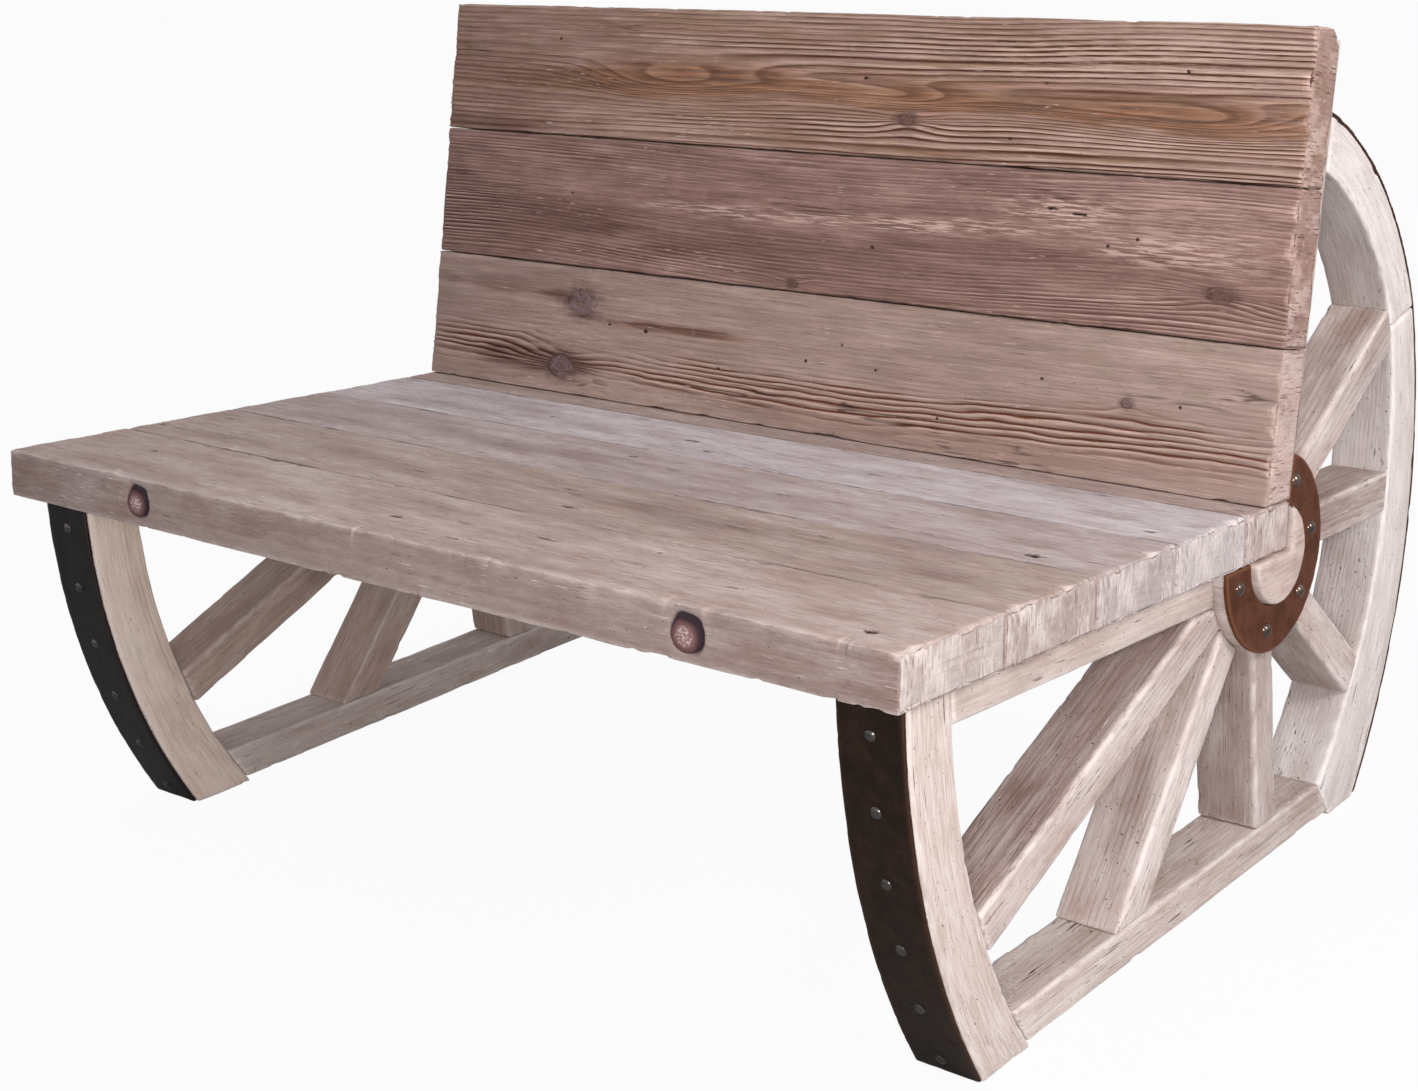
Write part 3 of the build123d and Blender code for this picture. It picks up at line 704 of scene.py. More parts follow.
class WoodPaint:
    """A wood material with its look and the patterns that all its layers share."""

    def __init__(self, name, look):
        self.material, self.add = new_material(name)
        self.look = look
        self.place = self.add("ShaderNodeAttribute", attribute_name="grain").outputs["Vector"]
        self.hair = self.pattern(1.9, 40 * look.drawn, 3.0, 0.7)
        self.strand = self.pattern(4.5, 40 * look.drawn, 5.0, 0.65)
        self.slow = self.pattern(*look.patch, 7.0, 0.68)
        band = self.pattern(15, 22 * look.drawn, 5.0)
        fibre = self.add("plus", self.centred(self.strand, 1.2), self.centred(band, 0.5))
        fibre = self.add("plus", self.centred(self.hair, 2.2), fibre)
        self.streak = self.add("plus", self.add("times", fibre, look.fibres * 1.6), 1.0)

    def pattern(self, width, stretch, detail, roughness=0.6, deep_stretch=1.0):
        """Noise of a width in mm across the grain, drawn out along it, and into the wood."""
        scale = (1 / (width * stretch * MM), 1 / (width * MM), 1 / (width * deep_stretch * MM))
        laid = self.add("ShaderNodeMapping", inputs={"Vector": self.place, "Scale": scale})
        return self.add("noise", laid.outputs[0], 1.0, detail, roughness)

    def centred(self, value, amount):
        """A number around 0 from one around a half."""
        return self.add("times", self.add("less", value, 0.5), amount)


def bare_faces(wood):
    """Colour of the faces before the rings are drawn."""
    add, look = wood.add, wood.look
    tone = add("plus", wood.slow, wood.centred(wood.strand, 0.22))
    base = add("ramp", tone, stops=((0.36, look.deep), (0.50, look.body), (0.64, look.pale)))
    if look.mottle:
        cloud = wood.pattern(24, 3.0, 7.0, 0.7)
        base = add("blend", add("ramp", cloud, stops=((0.43, 0.0), (0.66, look.mottle))), base, look.warm)
    return add("tint", 1.0, base, wood.streak)


print("settings of a wood's look:", len(usual_look))

# %% [markdown]
# ## Ring lines
# Each ring leaves a thin dark groove with a paler ridge beside it, strong in some places and faint in
# others. The ridge is pale partly from wear and partly as a painted highlight along its crest, broken up
# by fine fibres. A stained lens has lines of its own colours.


# %% Grooves, ridges and stains
def with_rings(wood, base):
    """Groove and ridge of each ring, and stained lenses, over a colour."""
    add, look = wood.add, wood.look
    ring = add("plus", add("stored", attribute_name="ring"), wood.centred(wood.strand, 0.25))
    wood.part = add("fraction", ring)
    line = add("ramp", wood.part, stops=(
        (0.0, 1.0), (0.13, 0.85), (0.26, 0.2), (0.42, 0.0), (0.92, 0.0), (0.98, 0.9)))
    each = add("ShaderNodeTexNoise", noise_dimensions="1D", inputs={
        "W": add("whole", ring), "Scale": 3.7, "Detail": 0.0}).outputs["Fac"]
    mixed = add("plus", add("times", each, 0.45), add("times", wood.pattern(24, 12, 3.0), 0.55))
    strong = add("ramp", mixed, stops=((0.34, 0.3), (0.60, 1.0)))
    vigour = add("times", strong, add("stored", attribute_name="vigour"))
    wood.groove = add("times", line, vigour)
    base = add("blend", add("times", wood.groove, look.lines, use_clamp=True), base, look.groove)
    # The pale crest beside each groove: worn wood, and partly a painted highlight.
    ridge = add("ramp", wood.part, stops=((0.45, 0.0), (0.70, 0.8), (0.86, 1.0), (0.93, 0.0)))
    ridge_share = add("times", add("times", ridge, vigour), look.lines * 0.8, use_clamp=True)
    broken = add("ramp", wood.hair, stops=((0.40, 0.25), (0.55, 1.0)))
    base = add("blend", add("times", ridge_share, broken), base, look.crest)

    stained = add("plus", wood.slow, wood.centred(wood.strand, 0.9))
    stained = add("ramp", stained, stops=((0.36, "#6b4d40"), (0.52, look.stain), (0.66, "#9b7560")))
    for mark, share, colour in ((line, 0.7, "#60422f"), (ridge, 0.4, "#b08a70")):
        stained = add("blend", add("times", mark, share, use_clamp=True), stained, colour)
    stained = add("tint", 1.0, stained, wood.streak)
    stain_share = add("times", add("stored", attribute_name="stain"), 0.9, use_clamp=True)
    return add("blend", stain_share, base, stained)


print("layer 1 of 4:", with_rings.__doc__)

# %% [markdown]
# ## Dirt, pits and slivers
# Damp has smeared dirt over some places, and the sun has bleached others. The same darkening also
# paints shade: on the seat's front edge, over the left ends of the planks, and on the wheels' faces
# between the spokes. Then come drying cracks too fine to be in the mesh, pin holes, specks of dirt, and
# bright slivers, which are painted glints where splinters catch the light.


# %% Marks of the weather
def with_weather(wood, base):
    """Smears of dirt and painted shade, cracks, specks, dirt and painted glints on slivers over a colour."""
    add, look = wood.add, wood.look
    # Above 0 this darkens the wood: dirt, a darker tone on some wheel pieces, and painted shade on the
    # seat's front edge, over the planks' left ends and on the wheels' faces between the spokes.
    smear = add("stored", attribute_name="smear")
    share = add("times", smear, add("ramp", wood.strand, stops=((0.40, 0.55), (0.56, 1.0))), use_clamp=True)
    base = add("blend", share, base, add("tint", 1.0, base, "#a08c88"))
    splinter = add("ramp", wood.pattern(2.6, 15, 3.0), stops=((0.48, 0.0), (0.57, 1.0)))
    bleached = add("times", smear, -0.95, use_clamp=True)
    base = add("blend", add("times", bleached, splinter), base, look.crest)

    split = add("ramp", wood.pattern(1.9, 24, 1.0), stops=((0.66, 0.0), (0.71, 1.0)))
    split = add("times", split, add("ramp", wood.pattern(30, 3.0, 3.0), stops=((0.50, 0.0), (0.62, 1.0))))
    base = add("blend", add("times", split, look.pits * 1.6, use_clamp=True), base, "#4a3731")
    wood.speck = add("ramp", wood.pattern(2.6, 1.8, 1.0), stops=((0.70, 0.0), (0.76, 1.0)))
    base = add("blend", add("times", wood.speck, look.pits, use_clamp=True), base, "#3a2a25")
    dirt = add("ramp", wood.pattern(17, 2.4, 5.0, 0.7), stops=((0.58, 0.0), (0.74, 1.0)))
    dirt_share = add("times", dirt, look.pits * 0.6, use_clamp=True)
    base = add("blend", dirt_share, base, add("blend", 0.6, base, look.groove))

    # Painted glints: bright specks where splinters catch the light.
    sliver_glint = add("ramp", wood.pattern(1.9, 13, 1.0), stops=((0.67, 0.0), (0.73, 1.0)))
    sliver_glint = add("times", sliver_glint, add("ramp", wood.pattern(42, 4.0, 3.0), stops=((0.48, 0.0), (0.60, 0.8))))
    return add("blend", sliver_glint, base, look.bright)


print("layer 2 of 4:", with_weather.__doc__)

# %% [markdown]
# ## Knots
# A knot is a soft dark smudge with streaks in it and a broken black crack round it. A plug in the
# front edge is a harder disc, with a black rim and pale flecks.


# %% Knots and plugs
def with_knots(wood, base):
    """Knots over a colour, and plugs where the look has them."""
    add, look = wood.add, wood.look
    frayed = add("plus", wood.centred(wood.pattern(12, 1.4, 1.5), 1.3), wood.centred(wood.strand, 0.8))
    away = add("times", add("plus", add("stored", attribute_name="knot"), frayed), 0.5)
    smudge = add("ramp", away, stops=((0.10, 0.80), (0.34, 0.88), (0.52, 0.45), (0.90, 0.0)))
    tone = add("ramp", away, stops=((0.05, "#6b5550"), (0.22, look.knot), (0.40, "#6b524d"),
                                    (0.50, "#4a332f"), (0.64, "#694c42")))
    swirl = add("ramp", wood.pattern(5, 1.0, 3.0), stops=(
        (0.36, "#7c6966"), (0.50, 1), (0.66, "#6f5a56")))
    base = add("blend", smudge, base, add("tint", 0.75, tone, swirl))
    rim = add("ramp", add("stored", attribute_name="knot"), stops=((0.80, 0.0), (0.90, 1.0), (1.0, 0.0)))
    rim = add("times", rim, add("ramp", wood.pattern(21, 1.0, 1.0), stops=((0.50, 0.0), (0.58, 1.0))))
    base = add("blend", add("times", rim, 0.7), base, "#1c1210")
    if not look.plugs:
        return base
    socket_share = add("ramp", add("stored", attribute_name="socket"), stops=((0.90, 0.96), (1.0, 0.0)))
    base = add("blend", socket_share, base, "#231622")
    plug = add("stored", attribute_name="plug")
    tone = add("ramp", plug, stops=((0.30, "#8b6864"), (0.75, "#6b4a4a"), (0.95, "#4a3033")))
    fleck = add("ramp", wood.pattern(3.2, 1.0, 2.0), stops=((0.47, 0.0), (0.58, 0.8)))
    inner = add("ramp", plug, stops=((0.35, 1.0), (0.70, 0.0)))
    tone = add("blend", add("times", inner, fleck), tone, "#cdb8b6")
    return add("blend", add("ramp", plug, stops=((0.92, 1.0), (1.0, 0.0))), base, tone)


print("layer 3 of 4:", with_knots.__doc__)

# %% [markdown]
# ## Sawn ends and worn arrises
# The ends are pale, with the arcs of the rings, rows left by the saw, and dark checks that run down
# through the thickness. Arrises are paler than the faces, from wear and partly as a painted highlight,
# and holes and cracks are dark.


# %% Ends, arrises and holes
def with_ends(wood, base):
    """Sawn ends, arrises paled by wear and a painted highlight, and holes and cracks over a colour."""
    add, look = wood.add, wood.look
    arcs = add("ramp", wood.part, stops=((0.0, 0.88), (0.14, 0.97), (0.6, 1.03), (0.93, 1.0), (1.0, 0.90)))
    rows = add("ramp", wood.pattern(3.0, 1.0, 2.0), stops=((0.3, 0.90), (0.7, 1.07)))
    sawn = add("tint", 1.0, add("tint", 0.9, look.end, arcs), rows)
    shade = add("ramp", wood.pattern(46, 1.0, 5.0, 0.65), stops=((0.40, 0.55), (0.56, 0.0)))
    sawn = add("blend", shade, sawn, look.deep)
    bloom = add("ramp", wood.pattern(26, 1.0, 4.0, 0.6, 2.0), stops=((0.50, 0.0), (0.62, 0.6)))
    sawn = add("blend", bloom, sawn, look.bright)
    fibre = add("ramp", wood.pattern(1.6, 1.0, 3.0, 0.7, 12.0), stops=((0.35, 0.86), (0.60, 1.04)))
    sawn = add("tint", 1.0, sawn, fibre)
    check = add("ramp", wood.pattern(2.8, 1.0, 2.0, 0.6, 10.0), stops=((0.60, 0.0), (0.66, 0.7)))
    sawn = add("blend", check, sawn, look.groove)
    base = add("blend", add("stored", attribute_name="end"), base, sawn)

    # Pale arrises: worn wood, and partly a painted highlight along the edge.
    patchy = add("ramp", wood.pattern(9, 3.0, 4.0), stops=((0.38, 0.15), (0.60, 1.0)))
    worn = add("times", add("stored", attribute_name="edge"), patchy)
    base = add("blend", add("times", worn, look.worn_share, use_clamp=True), base, look.bright)
    split = add("times", add("stored", attribute_name="crack"), 0.85)
    dark = add("most", add("stored", attribute_name="hole"), split, use_clamp=True)
    return add("blend", dark, base, "#30201c")


print("layer 4 of 4:", with_ends.__doc__)

# %% The whole wood material
def weathered_wood(name, palette, **look):
    """Wood material from a palette of body, pale, deep, groove and sawn end."""
    tones = dict(zip(("body", "pale", "deep", "groove", "end"), palette.split()))
    wood = WoodPaint(name, SimpleNamespace(**tones, **{**usual_look, **look}))
    add = wood.add
    base = bare_faces(wood)
    for layer in (with_rings, with_weather, with_knots, with_ends):
        base = layer(wood, base)
    relief = add("plus", add("times", wood.hair, 0.8), add("times", wood.strand, 1.0))
    relief = add("less", relief, add("times", wood.groove, 0.5))
    relief = add("less", relief, add("times", wood.speck, 0.5))
    rough = add("plus", add("times", wood.slow, -0.2), 0.88, use_clamp=True)
    add("surface", add("ShaderNodeBsdfPrincipled", inputs={
        "Base Color": base, "Roughness": rough, "IOR": 1.45, "Specular IOR Level": 0.25,
        "Normal": add("bumps", relief, wood.look.bump, 1.0 * MM)}).outputs[0])
    return wood.material


print("layers over the bare wood: rings, weather, knots, ends")

# %% [markdown]
# ## The seat
# Five planks lie side by side. Greys differ from board to board: the rear one, mostly under the back,
# is browner. Their front edge is a sawn face with two dark knots, so the first plank is laid out
# finely there too. Marks are given along the bench from its middle, and across from the plank's own
# front edge.

# %% Seat planks
# The broad patches that darken the left end of boards 1, 3 and 4 over their whole width are painted shade,
# where the light falls off; the smaller ones are dirt and bleaching.
seat_boards = (
    Timber(11, (60, 420), 13.0, 10.0, holes=(
        (-44, 61, 17, 8), (555, 38, 16, 12), (131, 91, 32, 5), (-300, 40, 6, 4), (250, 120, 7, 5),
        (60, 36, 26, 4), (86, 44, 22, 3), (380, 70, 24, 4), (-480, 100, 18, 4)),
        # This board's front edge is darkened as painted shade.
        edge_knots=((-380, 25, 19.5, 1.0), (385, 25.5, 20.5, 1.0)), vigour=0.35, front_smear=0.68,
        smears=((-500, 60, 500, 200, 0.25), (300, 60, 240, 60, -0.3), (-90, 110, 260, 40, 0.35),
                (160, 20, 300, 30, 0.3), (-350, 20, 300, 20, 0.3)),
        cracks=0.10, relief=0.35, wear=2.4,
        chips=((610, 0, 0, 7, 26), (560, 0, 0, 4.5, 22), (470, 0, 0, 4, 14), (-120, 0, 0, 4, 30))),
    Timber(23, (98, 24), 8.0, 9.0, holes=(
        (6, 99, 26, 5), (58, 43, 22, 6), (-564, 112, 14, 6), (-180, 60, 20, 4), (-595, 40, 10, 6),
        (240, 84, 34, 4), (330, 110, 18, 4)),
        smears=((180, 88, 420, 50, 0.5), (-330, 70, 300, 34, 0.35), (470, 60, 200, 70, 0.3)),
        cracks=0.14, relief=0.35, wear=1.3, vigour=0.35),
    Timber(37, (70, 320), 9.0, 11.0, holes=(
        (524, 24, 22, 10), (-51, 110, 16, 8), (190, 70, 28, 4), (400, 30, 22, 4), (-220, 84, 20, 4)),
        vigour=0.4, smears=((-150, 70, 420, 50, 0.4), (-500, 70, 420, 150, 0.3),
                            (80, 30, 260, 34, 0.35), (300, 104, 340, 40, -0.6)),
        cracks=0.16, relief=0.35, wear=1.3),
    Timber(41, (-190, 230), 7.0, 7.0, holes=(
        (-57, 70, 24, 8), (-7, 34, 18, 7), (-277, 70, 20, 6), (564, 28, 16, 8), (210, 60, 26, 5)),
        vigour=0.35, bands=((80, 70, 500, 60, 0.4),),
        smears=((-60, 96, 460, 50, -0.7), (-420, 60, 360, 120, 0.3), (330, 40, 320, 40, -0.4)),
        cracks=0.16, relief=0.35, wear=1.2),
    Timber(59, (190, 90), 5.0, 5.0, holes=((589, 20, 14, 5),), vigour=0.6, cracks=0.1, relief=0.4,
           wear=1.2),
)
seat_palettes = (  # body, pale, deep, groove, sawn end
    "#b19e96 #bfaea7 #a08b82 #7f6a60 #b3a5a0",
    "#a69389 #b7a69f #94807a #725d55 #aa9994",
    "#b0a09d #bfb1ae #9f8e8a #7b6a66 #ada09d",
    "#c3b8b9 #d0c7c8 #b1a4a5 #867879 #bbafab",
    "#a8938c #b7a49d #907a72 #5f4a43 #b5a29c",
)
print("seat boards:", len(seat_boards))

# %% Make the seat planks
board_front = seat_front
last_board = len(seat_plank_widths)
for number, (width, timber, palette) in enumerate(
        zip(seat_plank_widths, seat_boards, seat_palettes), start=1):
    start = board_front + (plank_gap / 2 if number > 1 else 0)
    board_front += width
    stop = board_front - (plank_gap / 2 if number < last_board else 0)

    def lay(across, deep, start=start):
        """Place on this seat plank."""
        return seat_point(start + across, -deep)

    fine_front = (1.3, 4.0) if number == 1 else (4.0, 4.0)
    piece = plank(f"weathered_seat_plank_{number}", f"seat_plank_{number}", timber, lay, stop - start,
                  (number > 1, number < last_board), steps=(1.3, fine_front, 7.0))
    wood = weathered_wood(f"weathered_pine_seat_{number}", palette, lines=0.42, fibres=0.17, bump=0.8,
                          mottle=0.5, warm="#93786d", patch=(40.0, 4.5), crest="#d2c6c2", drawn=0.22,
                          pits=0.9, plugs=number == 1)
    dress(piece, wood)

# %% [markdown]
# ## The back
# Three planks stand edge to edge. They are sawn across the rings, so the grain is close and straight,
# and the weather has raised it into ridges a few millimetres apart. Where a ring lies flat in the
# face, it shows as a long brown eye. The lowest plank is smooth and grey above, with dark furrows
# along its foot that flow round two knots.

# %% Back planks
# The broad patches over the left end of each plank are painted shade, where the light falls off; the smaller
# dark and pale ones are dirt and bleaching.
back_boards = (
    Timber(71, (-150, 120), 6.6, 9.0, waves=2.6, knots=(
        (-348, 116, 18, 1.35), (-376, 34, 16, 1.5), (438, 86, 6, 1.3)),
        holes=((-300, 95, 5, 3), (-240, 92, 8, 4), (-120, 60, 5, 3), (60, 108, 4, 3), (200, 40, 5, 3),
               (10, 84, 4, 3), (110, 84, 5, 3), (330, 100, 6, 3), (500, 90, 4, 3)),
        stains=((-215, 98, 250, 11, 0.6), (-440, 124, 150, 9, 0.4), (160, 34, 1000, 66, 0.18)),
        cracks=0.08, relief=1.8, wear=1.3, vigour=0.08,
        bands=((130, 44, 1060, 44, 2.4), (-520, 52, 240, 50, 1.8), (430, 60, 500, 40, 0.5)),
        smears=((-230, 100, 270, 11, 0.9), (-390, 122, 90, 16, 0.8), (-420, 38, 230, 34, 0.9),
                (-560, 70, 500, 240, 0.3), (-470, 134, 420, 44, 0.4), (-330, 76, 130, 30, -0.6),
                (-450, 74, 200, 18, -0.5))),
    Timber(83, (-420, 60), 4.4, 6.0, waves=0.5, knots=((532, 47, 8, 2.4), (-20, 8, 5, 1.6)),
        holes=((322, 121, 14, 3), (358, 117, 22, 2.5), (430, 96, 5, 4), (-380, 90, 4, 3),
               (90, 60, 5, 3), (395, 86, 4, 3)),
        cracks=0.14, relief=1.3, wear=1.5, vigour=0.3, end_chips=5, bands=(
            (0, 92, 1300, 52, -0.3), (-590, 60, 260, 110, 0.9), (-480, 140, 400, 30, 0.5),
            (450, 22, 560, 44, 0.7), (-250, 26, 500, 30, 0.4), (480, 142, 400, 26, 0.5)),
        smears=((330, 118, 150, 30, -0.8), (-60, 86, 560, 22, -0.8), (190, 92, 300, 20, -0.75),
                (-420, 98, 300, 26, -0.5), (480, 84, 260, 36, -0.6), (-480, 60, 500, 240, 0.5),
                (-60, 46, 760, 56, 0.5), (300, 70, 300, 20, 0.4),
                (450, 112, 420, 100, -0.4))),
    Timber(97, (560, 60), 6.4, 9.0, waves=0.6, knots=((124, 44, 7, 1.9),),
        holes=((-420, 120, 4, 3), (260, 30, 5, 3), (470, 110, 4, 3), (300, 92, 5, 3), (60, 88, 6, 3)),
        stains=((-225, 76, 300, 42, 0.95), (-30, 74, 260, 20, 0.7), (110, 68, 280, 26, 0.9),
                (320, 66, 330, 24, 0.65), (500, 58, 290, 34, 0.95), (40, 72, 1180, 56, 0.42)),
        smears=((-540, 90, 560, 300, 0.5), (-560, 12, 300, 30, 0.5), (400, 122, 520, 60, -0.35)),
        cracks=0.12, relief=2.0, end_chips=5, chips=((610, 161.4, 53, 11, 34), (610, 161.4, 12, 5, 16)),
        wear=1.7, vigour=0.55, bands=((330, 118, 900, 110, 0.7), (300, 18, 1000, 76, 1.2),
                                     (-430, 120, 420, 90, -0.35))),
)
back_looks = (  # body, pale, deep, groove and sawn end, then crest, knot, fibres and warm patches
    ("#a28a81 #b0988e #947a70 #60301f #bba49b", "#c2a597", "#806a70", 0.24, "#8f7b6e"),
    ("#8f7067 #a6857c #7b5c54 #4c2c24 #9b7e75", "#c9aa9e", "#63433a", 0.33, "#73544c"),
    ("#9a7a6f #b4968a #87674f #553427 #9a7d74", "#d6b6a6", "#6f4d43", 0.38, "#8d725c"),
)
print("back boards:", len(back_boards))

# %% Make the back planks
back_bevel = plank_thickness * sin(lean) / cos(lean)
for number, (name, timber) in enumerate(zip(("bottom", "middle", "top"), back_boards)):
    start = number * back_plank_height + (plank_gap / 2 if number > 0 else 0)
    stop = (number + 1) * back_plank_height - (plank_gap / 2 if number < 2 else 0)

    def stand(across, deep, start=start):
        """Place on this back plank."""
        return back_point(start + across, deep)

    piece = plank(f"weathered_back_plank_{name}", f"back_plank_{name}", timber, stand, stop - start,
                  (number > 0, number < 2), bevel=0 if number else back_bevel,
                  steps=(1.15, (4.0, 4.0), 4.5))
    palette, crest, knot_tone, fibres, warm = back_looks[number]
    wood = weathered_wood(f"weathered_pine_back_{name}", palette, crest=crest, knot=knot_tone,
                          fibres=fibres, mottle=0.65, warm=warm, lines=1.2, bump=0.9, bright="#cbb2a8")
    dress(piece, wood)

# %% [markdown]
# ## The wheels' wood
# Felloes are sawn on a curve, and spokes and rails are straight. A piece is copied from its solid and
# laid out straight along its own grain: felloes are unrolled round the middle of their arc. Laid out
# like this, the voxel remesh that evens the mesh runs with the faces, so they stay flat and their
# arrises stay straight. Then the piece is worn and rolled back up. Tenons and mortises stay.


# %% Straight and bent grain
class StraightGrain:
    """Grain along a line in the wheel's plane, from a place at an angle."""

    def __init__(self, place, angle):
        self.start = np.array(place)
        turn = radians(angle)
        self.turn = np.array([[cos(turn), -sin(turn)], [sin(turn), cos(turn)]])

    def unroll(self, points):
        """Bench places in mm, as along, across and deep."""
        flat = (points[:, 1:] - self.start) @ self.turn
        return np.column_stack([flat, points[:, 0]])

    def roll(self, laid):
        """The other way round."""
        flat = laid[:, :2] @ self.turn.T + self.start
        return np.column_stack([laid[:, 2], flat])


class BentGrain:
    """Grain round an arc, where angle is the middle of the piece."""

    def __init__(self, centre, radius, angle):
        self.centre = np.array(centre)
        self.radius = radius
        self.middle = radians(angle)

    def unroll(self, points):
        """Bench places in mm, as along, across and deep."""
        flat = points[:, 1:] - self.centre
        angle = np.arctan2(flat[:, 1], flat[:, 0]) - self.middle
        angle = (angle + pi) % (2 * pi) - pi
        return np.column_stack([angle * self.radius, self.radius - np.hypot(*flat.T), points[:, 0]])

    def roll(self, laid):
        """The other way round."""
        angle = laid[:, 0] / self.radius + self.middle
        away = self.radius - laid[:, 1]
        flat = np.column_stack([np.cos(angle), np.sin(angle)]) * away[:, None] + self.centre
        return np.column_stack([laid[:, 2], flat])


print("a quarter of a bent metre:", BentGrain((0, 0), 1000, 0).unroll(np.array([[0, 0, 1000.0]])).round())

# %% Even mesh of a solid, laid out along its grain
merge_distance = 0.02
longest_edge = 14.0
evening_passes = 4


def merged_copy(node):
    """Working copy of a node's mesh in the bench's frame, with its loose triangles merged."""
    source = bpy.data.objects[node]
    draft = bmesh.new()
    draft.from_mesh(source.data)
    draft.transform(source.matrix_world)
    bmesh.ops.remove_doubles(draft, verts=draft.verts, dist=merge_distance * MM)
    return draft


def bake_modifiers(piece):
    """Turn what the modifiers make into a plain mesh, and remove them."""
    graph = bpy.context.evaluated_depsgraph_get()
    made = bpy.data.meshes.new_from_object(piece.evaluated_get(graph))
    piece.modifiers.clear()
    piece.data = made


def laid_out(name, node, grain, voxel, smoothing):
    """New object: the node's solid with even faces, in grain space."""
    draft = merged_copy(node)
    for _ in range(evening_passes):
        long_edges = [e for e in draft.edges if e.calc_length() > longest_edge * MM]
        bmesh.ops.subdivide_edges(draft, edges=long_edges, cuts=1)
    bmesh.ops.triangulate(draft, faces=draft.faces)
    mesh = bpy.data.meshes.new(name)
    draft.to_mesh(mesh)
    draft.free()
    write_points(mesh, grain.unroll(read_points(mesh)))
    piece = bpy.data.objects.new(name, mesh)
    bpy.context.scene.collection.objects.link(piece)
    remesh = piece.modifiers.new("even", "REMESH")
    remesh.mode = "VOXEL"
    remesh.voxel_size = voxel * MM
    smooth = piece.modifiers.new("settle", "SMOOTH")
    smooth.factor = 0.5
    smooth.iterations = smoothing
    bake_modifiers(piece)
    bpy.data.meshes.remove(mesh)
    piece.data.name = name
    return piece


def arris_measure(mesh, reach=2):
    """1 at sharp outer edges, 0 on flat faces: how far a vertex stands out from its neighbours."""
    ends = np.empty(len(mesh.edges) * 2, dtype=np.int64)
    mesh.edges.foreach_get("vertices", ends)
    first, second = ends.reshape(-1, 2).T
    count = np.bincount(ends, minlength=len(mesh.vertices))[:, None].clip(1)

    def neighbours(values):
        """Mean of each vertex's neighbours."""
        total = np.zeros_like(values)
        np.add.at(total, first, values[second])
        np.add.at(total, second, values[first])
        return total / count

    points = read_points(mesh)
    away = ((points - neighbours(points)) * read_normals(mesh)).sum(axis=1)[:, None]
    for _ in range(reach):
        away = (away + neighbours(away)) / 2
    return away[:, 0]


print("edges longer than", longest_edge, "mm are halved in", evening_passes, "passes")

# %% [markdown]
# ## Wear on the wheels
# The arrises are rounded and chipped, and the faces are ribbed by their rings, though less than the
# planks, because oak is harder. The same call stores what the wood material reads.


# %% Weather one wheel piece
def wheel_wood(name, node, grain, timber, voxel=2.6):
    """A wheel piece of weathered oak that replaces its node."""
    piece = laid_out(name, node, grain, voxel, smoothing=1)
    mesh = piece.data
    laid = read_points(mesh)
    along, across, deep = laid.T
    ring = ring_number(timber, along, across, deep)
    normals = read_normals(mesh)
    end = smooth_step(0.70, 0.92, np.abs(normals[:, 0]))
    arris = np.clip(arris_measure(mesh, 1) / (0.22 * voxel), 0, 1)
    wear = fractal_noise(laid / (38, 24, 24), timber.seed + 5)
    chips = smooth_step(0.35, 0.75, lattice_noise(laid / (17, 9, 9), timber.seed + 6))
    swell = fractal_noise(laid / (150, 40, 40), timber.seed + 9)
    # Painted shade: the faces between the spokes, which do not face out of the wheel, are darker than the
    # flat outer ones.
    soot = timber.soot * (1 - smooth_step(0.5, 0.9, np.abs(normals[:, 2])))
    smear = timber.front_smear + soot + 0.5 * np.maximum(swell, 0) * (1 - end)
    crack = crack_mask(timber, along, across, deep) * (1 - end)
    vigour = np.clip(timber.vigour + 0.35 * swell, 0, 1)
    sink = timber.relief * (1 - late_wood(ring)) * (1 - end) * vigour
    sink += arris * timber.wear * (0.3 + 0.4 * wear + 1.6 * chips)
    sink += 0.3 * (0.8 + swell) + crack * 1.2
    points = grain.roll(laid - normals * np.clip(sink, 0, 5)[:, None])
    points[:, 2] = np.maximum(points[:, 2], 0)
    write_points(mesh, points)
    store(piece, ring=ring, knot=np.full(len(ring), knot_reach), crack=crack, end=end, edge=arris,
          vigour=vigour, smear=np.clip(smear, -1, 1), grain=laid * MM)
    hand_over(piece, node)
    return piece


print("one call makes:", wheel_wood.__doc__)

# %% Grain of every wheel piece
def bench_place(y, z):
    """Bench Y and Z of a place measured from the axle and the floor."""
    return axle_y + y, z


rail_lean = 90 - degrees(back_recline)
rail_fall = 180 - degrees(seat_slope)
spoke_angles = (202.6, 229.8, 274.3, 318.0, 357.6, 30.2)
rear_centre = bench_place(-271.4, 407.3)
upper_centre = bench_place(-27.0, 413.2)
front_centre = bench_place(122.9, 387.9)
axle_place = bench_place(0, axle_z)
wheel_grains = {
    "front_felloe": BentGrain(front_centre, 721.0, 195),
    "rear_felloe_lower": BentGrain(rear_centre, 600.0, -12),
    "rear_felloe_upper": BentGrain(upper_centre, 375.0, 45),
    "bottom_rail": StraightGrain(bench_place(0, 0), 0),
    "seat_rail": StraightGrain(axle_place, rail_fall),
    "back_rail": StraightGrain(axle_place, rail_lean),
}
for number, angle in enumerate(spoke_angles, start=1):
    wheel_grains[f"spoke_{number}"] = StraightGrain(axle_place, angle)
print("wheel pieces with their own grain:", len(wheel_grains))
